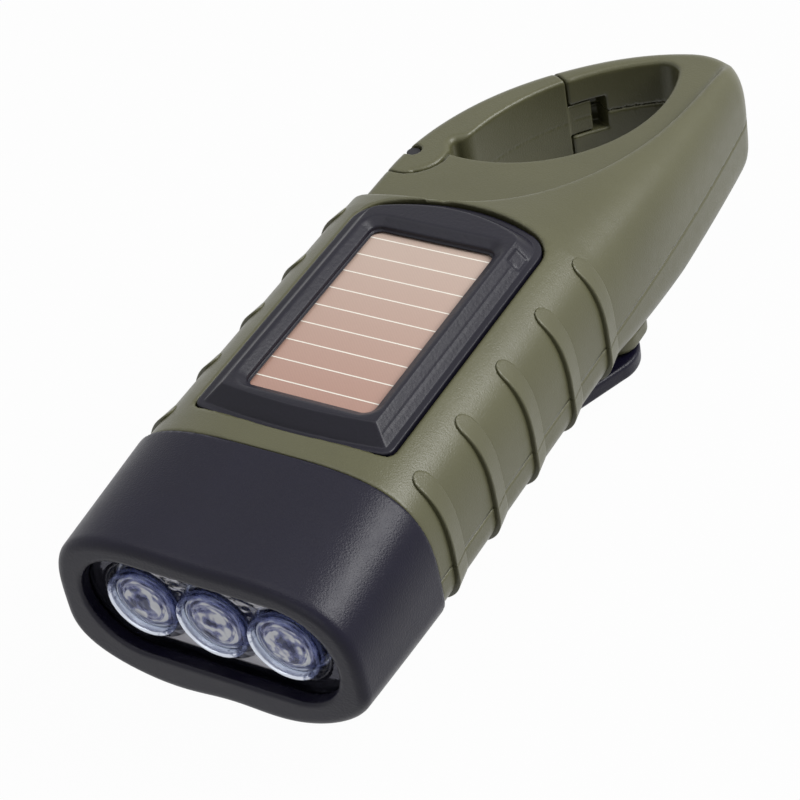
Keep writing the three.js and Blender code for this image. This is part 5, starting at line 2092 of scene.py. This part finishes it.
@dataclass
class Crank:
    """The folding crank under the body, in its own frame with the arm along +Y."""

    arm: float = 35.0
    hub: float = 10.0
    end: float = 7.0
    top: float = ARM_TOP
    base: float = -13.8
    cap: float = -15.5
    cap_radius: float = 7.4
    slot_at: float = 24.6
    slot: tuple[float, float, float] = (3.6, 14.5, 0.8)
    screw_seat: float = 3.0
    shaft_seat: float = 3.3
    shaft_hole: float = 2.3
    hinge: float = -12.4
    hinge_pin: Pair = (0.85, 6.1)
    trough_inset: float = 2.2
    trough_half: float = 0.45
    trough_depth: float = 0.5
    trough_start: float = 9.5
    drop: float = 1.9
    knob_radius: float = 3.3
    knob_ends: Pair = (-22.2, -3.5)
    flutes: float = 12.0
    flute_depth: float = 0.16
    knob_bore: float = 1.6
    knob_well: float = 2.5
    knob_well_top: float = -21.0

    def placing(self) -> Matrix:
        """Where the crank's own frame lies on the body."""
        return Matrix.Translation((0.0, CRANK_ALONG, 0.0)) @ Matrix.Rotation(CRANK_TURN, 4, "Z")

    def folding(self) -> Matrix:
        """Where the folding knob's frame lies on the body."""
        return self.placing() @ Matrix.Translation((0.0, self.arm, self.hinge))

    def arm_solid(self, where: Places) -> Points:
        """Distance to the arm with its hub cap, slot and holes.

        Args:
            where: The places.

        Returns:
            The distances.
        """
        x, y, z = where
        share = np.clip(y / self.arm, 0.0, 1.0)
        reach = np.hypot(x, y)
        plan = np.hypot(x, y - share * self.arm) - (self.hub - (self.hub - self.end) * share)
        slab = blend_max(plan * 0.99, between(z, self.base, self.top), 0.55)
        cap = blend_max(reach - self.cap_radius, between(z, self.cap, self.top - 0.5), 0.6)
        body = blend_min(slab, cap, 0.5)
        body = blend_max(body, -rounded_box(x, y - self.slot_at, *self.slot), 0.4)
        body = np.maximum(body, -np.maximum(reach - self.shaft_seat, self.base - z))
        body = blend_max(body, -np.maximum(reach - self.screw_seat, z - self.base + 0.3), 0.25)
        body = np.maximum(body, -(reach - self.shaft_hole))
        pin, pin_half = self.hinge_pin
        hole = np.maximum(np.hypot(y - self.arm, z - self.hinge) - pin, np.abs(x) - pin_half)
        band = np.abs(plan + self.trough_inset) - self.trough_half
        trough = blend_max(band, z - self.base + self.trough_depth, 0.2)
        trough = np.maximum(trough, self.trough_start - y)
        return np.maximum(np.maximum(body, -hole), -trough)

    def knob_solid(self, where: Places) -> Points:
        """Distance to the turning knob: a fluted barrel with a bore.

        Args:
            where: The places.

        Returns:
            The distances.
        """
        x, y, z = where
        low, high = self.knob_ends
        reach = np.hypot(x, z)
        middle = smooth_step(low + 1.8, low + 3.3, y) * smooth_step(high - 1.7, high - 3.2, y)
        wave = 1.0 - np.cos(np.arctan2(z, x) * self.flutes)
        round_skin = reach - self.knob_radius + self.flute_depth * middle * wave
        barrel = blend_max(round_skin * 0.95, between(y, low, high), 0.6)
        well = np.maximum(reach - self.knob_well, y - self.knob_well_top)
        return np.maximum(barrel, -np.minimum(reach - self.knob_bore, well))

    def build(self, shop: Workshop) -> None:
        """Mesh and place the arm and the knob.

        Args:
            shop: Makes the pieces.
        """
        low, high = (-10.2, -10.2, -15.6), (10.2, 42.2, -10.8)
        seat = ("crank", "black_plastic", "crank_arm")
        shop.skin("crank_arm_skin", self.arm_solid, low, high, 0.3, Finish.BLACK, seat, self.placing())
        turn = self.folding() @ Matrix.Translation((0.0, 0.0, -self.drop))
        low, high = (-3.4, -22.3, -3.4), (3.4, -3.4, 3.4)
        seat = ("knob", "black_plastic", "crank_knob")
        shop.skin("knob_skin", self.knob_solid, low, high, 0.2, Finish.BLACK, seat, turn)


# Fasteners and the button


@dataclass(frozen=True)
class Screw:
    """A screw with a domed head and a cross recess, its head downwards."""

    node: str
    body: str
    at: Pair
    low: float
    head_radius: float
    head_height: float
    shank_radius: float
    end: float
    thread_pitch: float = 0.8
    thread_depth: float = 0.12
    cell: float = 0.16

    def solid(self, where: Places) -> Points:
        """Distance to the screw about its own axis, from the head's underside up.

        Args:
            where: The places.

        Returns:
            The distances.
        """
        x, y, z = where
        reach = np.hypot(x, y)
        dome = (reach / self.head_radius) ** 2 * 0.3 * self.head_height
        head = blend_max(reach - self.head_radius, between(z, 0.0, self.head_height), 0.15)
        head = np.maximum(head, (dome - z) * 0.9)
        arm, half = self.head_radius * 0.55, self.head_radius * 0.13
        one = np.maximum(np.abs(x) - half, np.abs(y) - arm)
        other = np.maximum(np.abs(y) - half, np.abs(x) - arm)
        recess = np.maximum(np.minimum(one, other) + z * 0.15, z - self.head_height * 0.7)
        head = np.maximum(head, -recess)
        turn = (z / self.thread_pitch + np.arctan2(y, x) / (2 * math.pi)) % 1.0
        thread = self.thread_depth * np.abs(turn * 2.0 - 1.0)
        length = between(z, self.head_height * 0.8, self.end - self.low)
        return np.minimum(head, np.maximum(reach - self.shank_radius + thread, length))

    def build(self, shop: Workshop) -> None:
        """Mesh and place the screw.

        Args:
            shop: Makes the pieces.
        """
        reach = self.head_radius + 0.2
        low, high = (-reach, -reach, -0.1), (reach, reach, self.end - self.low + 0.1)
        turn = Matrix.Translation((*self.at, self.low))
        name = f"{self.node}_skin"
        seat = (self.body, "steel", self.node)
        shop.skin(name, self.solid, low, high, self.cell, Finish.STEEL, seat, turn)


@dataclass
class PowerButton:
    """The oval button on the gate side."""

    at: Pair = (12.6, PARTING)
    cap: Pair = (4.4, 3.1)
    flange: Pair = (5.4, 4.1)
    cap_ends: Pair = (-26.3, -22.3)
    flange_front: float = -23.2
    dish: float = 0.35
    ring_at: float = 0.72
    ring_half: float = 0.14
    ring_end: float = -26.1
    cell: float = 0.16

    def solid(self, where: Places) -> Points:
        """Distance to the button with its flange and a dished face.

        Args:
            where: The places.

        Returns:
            The distances.
        """
        x, y, z = where
        across, up = y - self.at[0], z - self.at[1]
        front, back = self.cap_ends
        ratio = np.hypot(across / self.cap[0], up / self.cap[1])
        wide = np.hypot(across / self.flange[0], up / self.flange[1])
        dish = self.dish * np.exp(-((ratio / 0.55) ** 4))
        cap = blend_max((ratio - 1.0) * 3.4, between(x - dish, front, back), 0.45)
        ring = np.maximum(np.abs(ratio - self.ring_at) * 3.4 - self.ring_half, x - self.ring_end)
        flange = blend_max((wide - 1.0) * 4.5, between(x, self.flange_front, back), 0.15)
        return np.minimum(np.maximum(cap, -ring), flange)

    def build(self, shop: Workshop) -> None:
        """Mesh and place the button.

        Args:
            shop: Makes the pieces.
        """
        low, high = (-26.4, 7.0, -2.3), (-22.2, 18.2, 6.3)
        seat = ("button", "black_plastic", "power_button")
        shop.skin("power_button_skin", self.solid, low, high, self.cell, Finish.SOFT, seat)


@dataclass(frozen=True)
class Innards:
    """The nodes that keep their CAD solids, with their finishes and a small soft edge."""

    edge: float = 0.12
    smooth_under: float = math.radians(30)
    round_over: float = math.radians(40)

    @staticmethod
    def chosen() -> dict[Finish, list[str]]:
        """The nodes that each finish dresses.

        Returns:
            The names of the nodes for each finish.
        """
        return {
            Finish.DARK_STEEL: ["gate_pin"],
            Finish.STEEL: [
                "gate_spring", "crank_shaft", "knob_hinge_pin", "first_axle", "second_axle",
                "plate_screw_1", "plate_screw_2", "plate_screw_3", "battery_strap", "stator_core",
            ],
            Finish.BRASS: ["rotor_shaft"],
            Finish.MAGNET: ["magnet_rotor"],
            Finish.NYLON: ["crank_gear", "first_gear", "second_gear", "gearbox_plate", "coil_bobbin"],
            Finish.COPPER: ["coil_winding"],
            Finish.CAN: ["battery_cell_1", "battery_cell_2", "battery_cell_3", "capacitor"],
            Finish.BOARD: ["main_board", "switch_board"],
            Finish.WHITE_BOARD: ["led_board"],
            Finish.BLACK_PART: ["battery_tray", "charge_chip", "switch_body"],
            Finish.BLACK: ["knob_swivel"],
        }

    def dress(self, nodes: dict[str, bpy.types.Object], finishes: Finishes) -> None:
        """Give each node its own finish and clean shading.

        Args:
            nodes: The frame's nodes by name.
            finishes: The finishes.
        """
        for finish, names in self.chosen().items():
            for name in names:
                node = nodes[name]
                node.data.materials.clear()
                node.data.materials.append(finishes[finish])
                node.data.polygons.foreach_set("use_smooth", np.ones(len(node.data.polygons), bool))
                node.data.set_sharp_from_angle(angle=self.smooth_under)
                edge = node.modifiers.new("soft_edges", "BEVEL")
                edge.width = self.edge * MM
                edge.segments = 2
                edge.limit_method = "ANGLE"
                edge.angle_limit = self.round_over
                LOG.info("%s keeps its solid and gets %s", name, finish.name)


# Stage


@dataclass(frozen=True)
class Softbox:
    """A square or oblong studio lamp."""

    name: str
    at: tuple[float, float, float]
    size: Pair
    power: float


@dataclass
class Studio:
    """Floor, backdrop, lamps and camera."""

    place: Place
    lens: float = 115.14
    sensor: float = 36.0
    eye: tuple[float, float, float] = (179.34, -209.40, 255.38)
    turn: float = math.radians(36.4388)
    tilt: float = math.radians(49.9427)
    roll: float = math.radians(-11.2897)
    target: tuple[float, float, float] = (0.0, 0.0, 0.02)
    surround: float = 0.12
    floor_half: float = 3.0
    floor_drop: float = 0.0005
    floor_tone: float = 0.35
    floor_glow: float = 0.975
    lamps: tuple[Softbox, ...] = (
        Softbox("key", (0.56, 0.3, 0.68), (0.5, 0.55), 9.0),
        Softbox("top", (-0.2, -0.1, 1.0), (0.8, 0.8), 2.5),
        Softbox("fill", (0.0, -0.9, 0.3), (0.5, 0.5), 0.7),
    )

    def camera(self) -> None:
        """Stand the camera where the photograph was taken from."""
        data = bpy.data.cameras.new("camera")
        data.lens = self.lens
        data.sensor_width = self.sensor
        data.clip_start, data.clip_end = 0.01, 20.0
        camera = bpy.data.objects.new("camera", data)
        aim = Matrix.Rotation(self.turn, 4, "Z") @ Matrix.Rotation(self.tilt, 4, "X")
        aim = aim @ Matrix.Rotation(self.roll, 4, "Z")
        camera.matrix_world = Matrix.Translation(self.place.point(*self.eye)) @ aim
        bpy.context.scene.collection.objects.link(camera)
        bpy.context.scene.camera = camera

    @staticmethod
    def _white_to_eye(
        tree: bpy.types.NodeTree, seen: bpy.types.NodeSocket, unseen: bpy.types.NodeSocket,
        output: bpy.types.NodeSocket,
    ) -> None:
        """Show one shader to the camera, mirrors and glass, and light with another.

        Args:
            tree: The nodes of a material or of the world.
            seen: What the camera, mirrors and glass see.
            unseen: What lights the object.
            output: The socket that takes the surface.
        """
        path = tree.nodes.new("ShaderNodeLightPath")
        share = path.outputs["Is Glossy Ray"]
        for ray in ("Is Transmission Ray", "Is Camera Ray"):
            either = tree.nodes.new("ShaderNodeMath")
            either.operation = "MAXIMUM"
            tree.links.new(share, either.inputs[0])
            tree.links.new(path.outputs[ray], either.inputs[1])
            share = either.outputs[0]
        mix = tree.nodes.new("ShaderNodeMixShader")
        tree.links.new(share, mix.inputs[0])
        tree.links.new(unseen, mix.inputs[1])
        tree.links.new(seen, mix.inputs[2])
        tree.links.new(mix.outputs[0], output)

    def world(self) -> None:
        """A white surround that lights the object only softly."""
        world = bpy.data.worlds.new("surround")
        bpy.context.scene.world = world
        world.use_nodes = True
        tree = world.node_tree
        soft = tree.nodes["Background"]
        white = tree.nodes.new("ShaderNodeBackground")
        for shown, strength in ((soft, self.surround), (white, 1.0)):
            shown.inputs["Color"].default_value = WHITE
            shown.inputs["Strength"].default_value = strength
        surface = tree.nodes["World Output"].inputs["Surface"]
        self._white_to_eye(tree, white.outputs[0], soft.outputs[0], surface)

    def floor(self) -> None:
        """A pale floor under the flashlight that keeps a faint shadow."""
        shader = Shader("pale_floor")
        shader.set(Base_Color=(self.floor_tone,) * 3, Roughness=0.9, Specular_IOR_Level=0.1)
        glow = shader.node("ShaderNodeEmission", None, {"Color": WHITE, "Strength": 1.0}, "Emission")
        lit = Value(shader, shader.surface.outputs["BSDF"])
        shown = shader.node("ShaderNodeMixShader", None, {0: self.floor_glow, 1: lit, 2: glow}, "Shader")
        self._white_to_eye(shader.tree, shown.socket, lit.socket, shader.output.inputs["Surface"])
        data = bpy.data.meshes.new("floor")
        half = self.floor_half
        corners = [(-half, -half, 0), (half, -half, 0), (half, half, 0), (-half, half, 0)]
        data.from_pydata(corners, [], [(0, 1, 2, 3)])
        data.materials.append(shader.material)
        floor = bpy.data.objects.new("floor", data)
        floor.location.z = -self.floor_drop
        bpy.context.scene.collection.objects.link(floor)

    def light(self, lamp: Softbox) -> None:
        """Stand a lamp that looks at the flashlight.

        Args:
            lamp: The lamp's name, place, size and power.
        """
        data = bpy.data.lights.new(lamp.name, "AREA")
        data.shape = "RECTANGLE"
        data.size, data.size_y = lamp.size
        data.energy = lamp.power
        made = bpy.data.objects.new(lamp.name, data)
        made.location = lamp.at
        made.rotation_mode = "QUATERNION"
        made.rotation_quaternion = (Vector(lamp.at) - Vector(self.target)).to_track_quat("Z", "Y")
        bpy.context.scene.collection.objects.link(made)

    def build(self) -> None:
        """Set up everything around the flashlight."""
        self.camera()
        self.world()
        self.floor()
        for lamp in self.lamps:
            self.light(lamp)


def screws(places: Sequence[Pair]) -> list[Screw]:
    """The four case screws and the crank's screw.

    Args:
        places: Plan positions of the case screws.

    Returns:
        The screws, from the case to the crank.
    """
    case = [
        Screw(f"case_screw_{number}", "case", at, -6.0, 2.3, 1.2, 1.2, 6.0)
        for number, at in enumerate(places, 1)
    ]
    return [*case, Screw("crank_screw", "crank", (0.0, CRANK_ALONG), -15.5, 2.7, 1.3, 2.0, -13.8)]


def main() -> None:
    """Build the flashlight around its frame."""
    logging.basicConfig(level=logging.INFO, format="%(name)s: %(message)s")
    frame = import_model()
    bpy.context.scene.view_settings.view_transform = "Standard"
    place = Place.from_frame()
    Studio(place).build()
    form, head = BodyForm(Envelope()), HeadForm()
    row = LampRow(head)
    shells = Shells(form, head)
    assemblies = [
        shells, GripRibs(form), Gate(form), Bezel(head), LampWindow(row), Reflector(row), Lamps(row),
        SolarPanel(form), Crank(), PowerButton(), *screws(shells.screws),
    ]
    shop = Workshop(place, Finishes())
    for assembly in assemblies:
        assembly.build(shop)
    Innards().dress(frame["nodes"], shop.finishes)


if __name__ == "__main__":
    main()
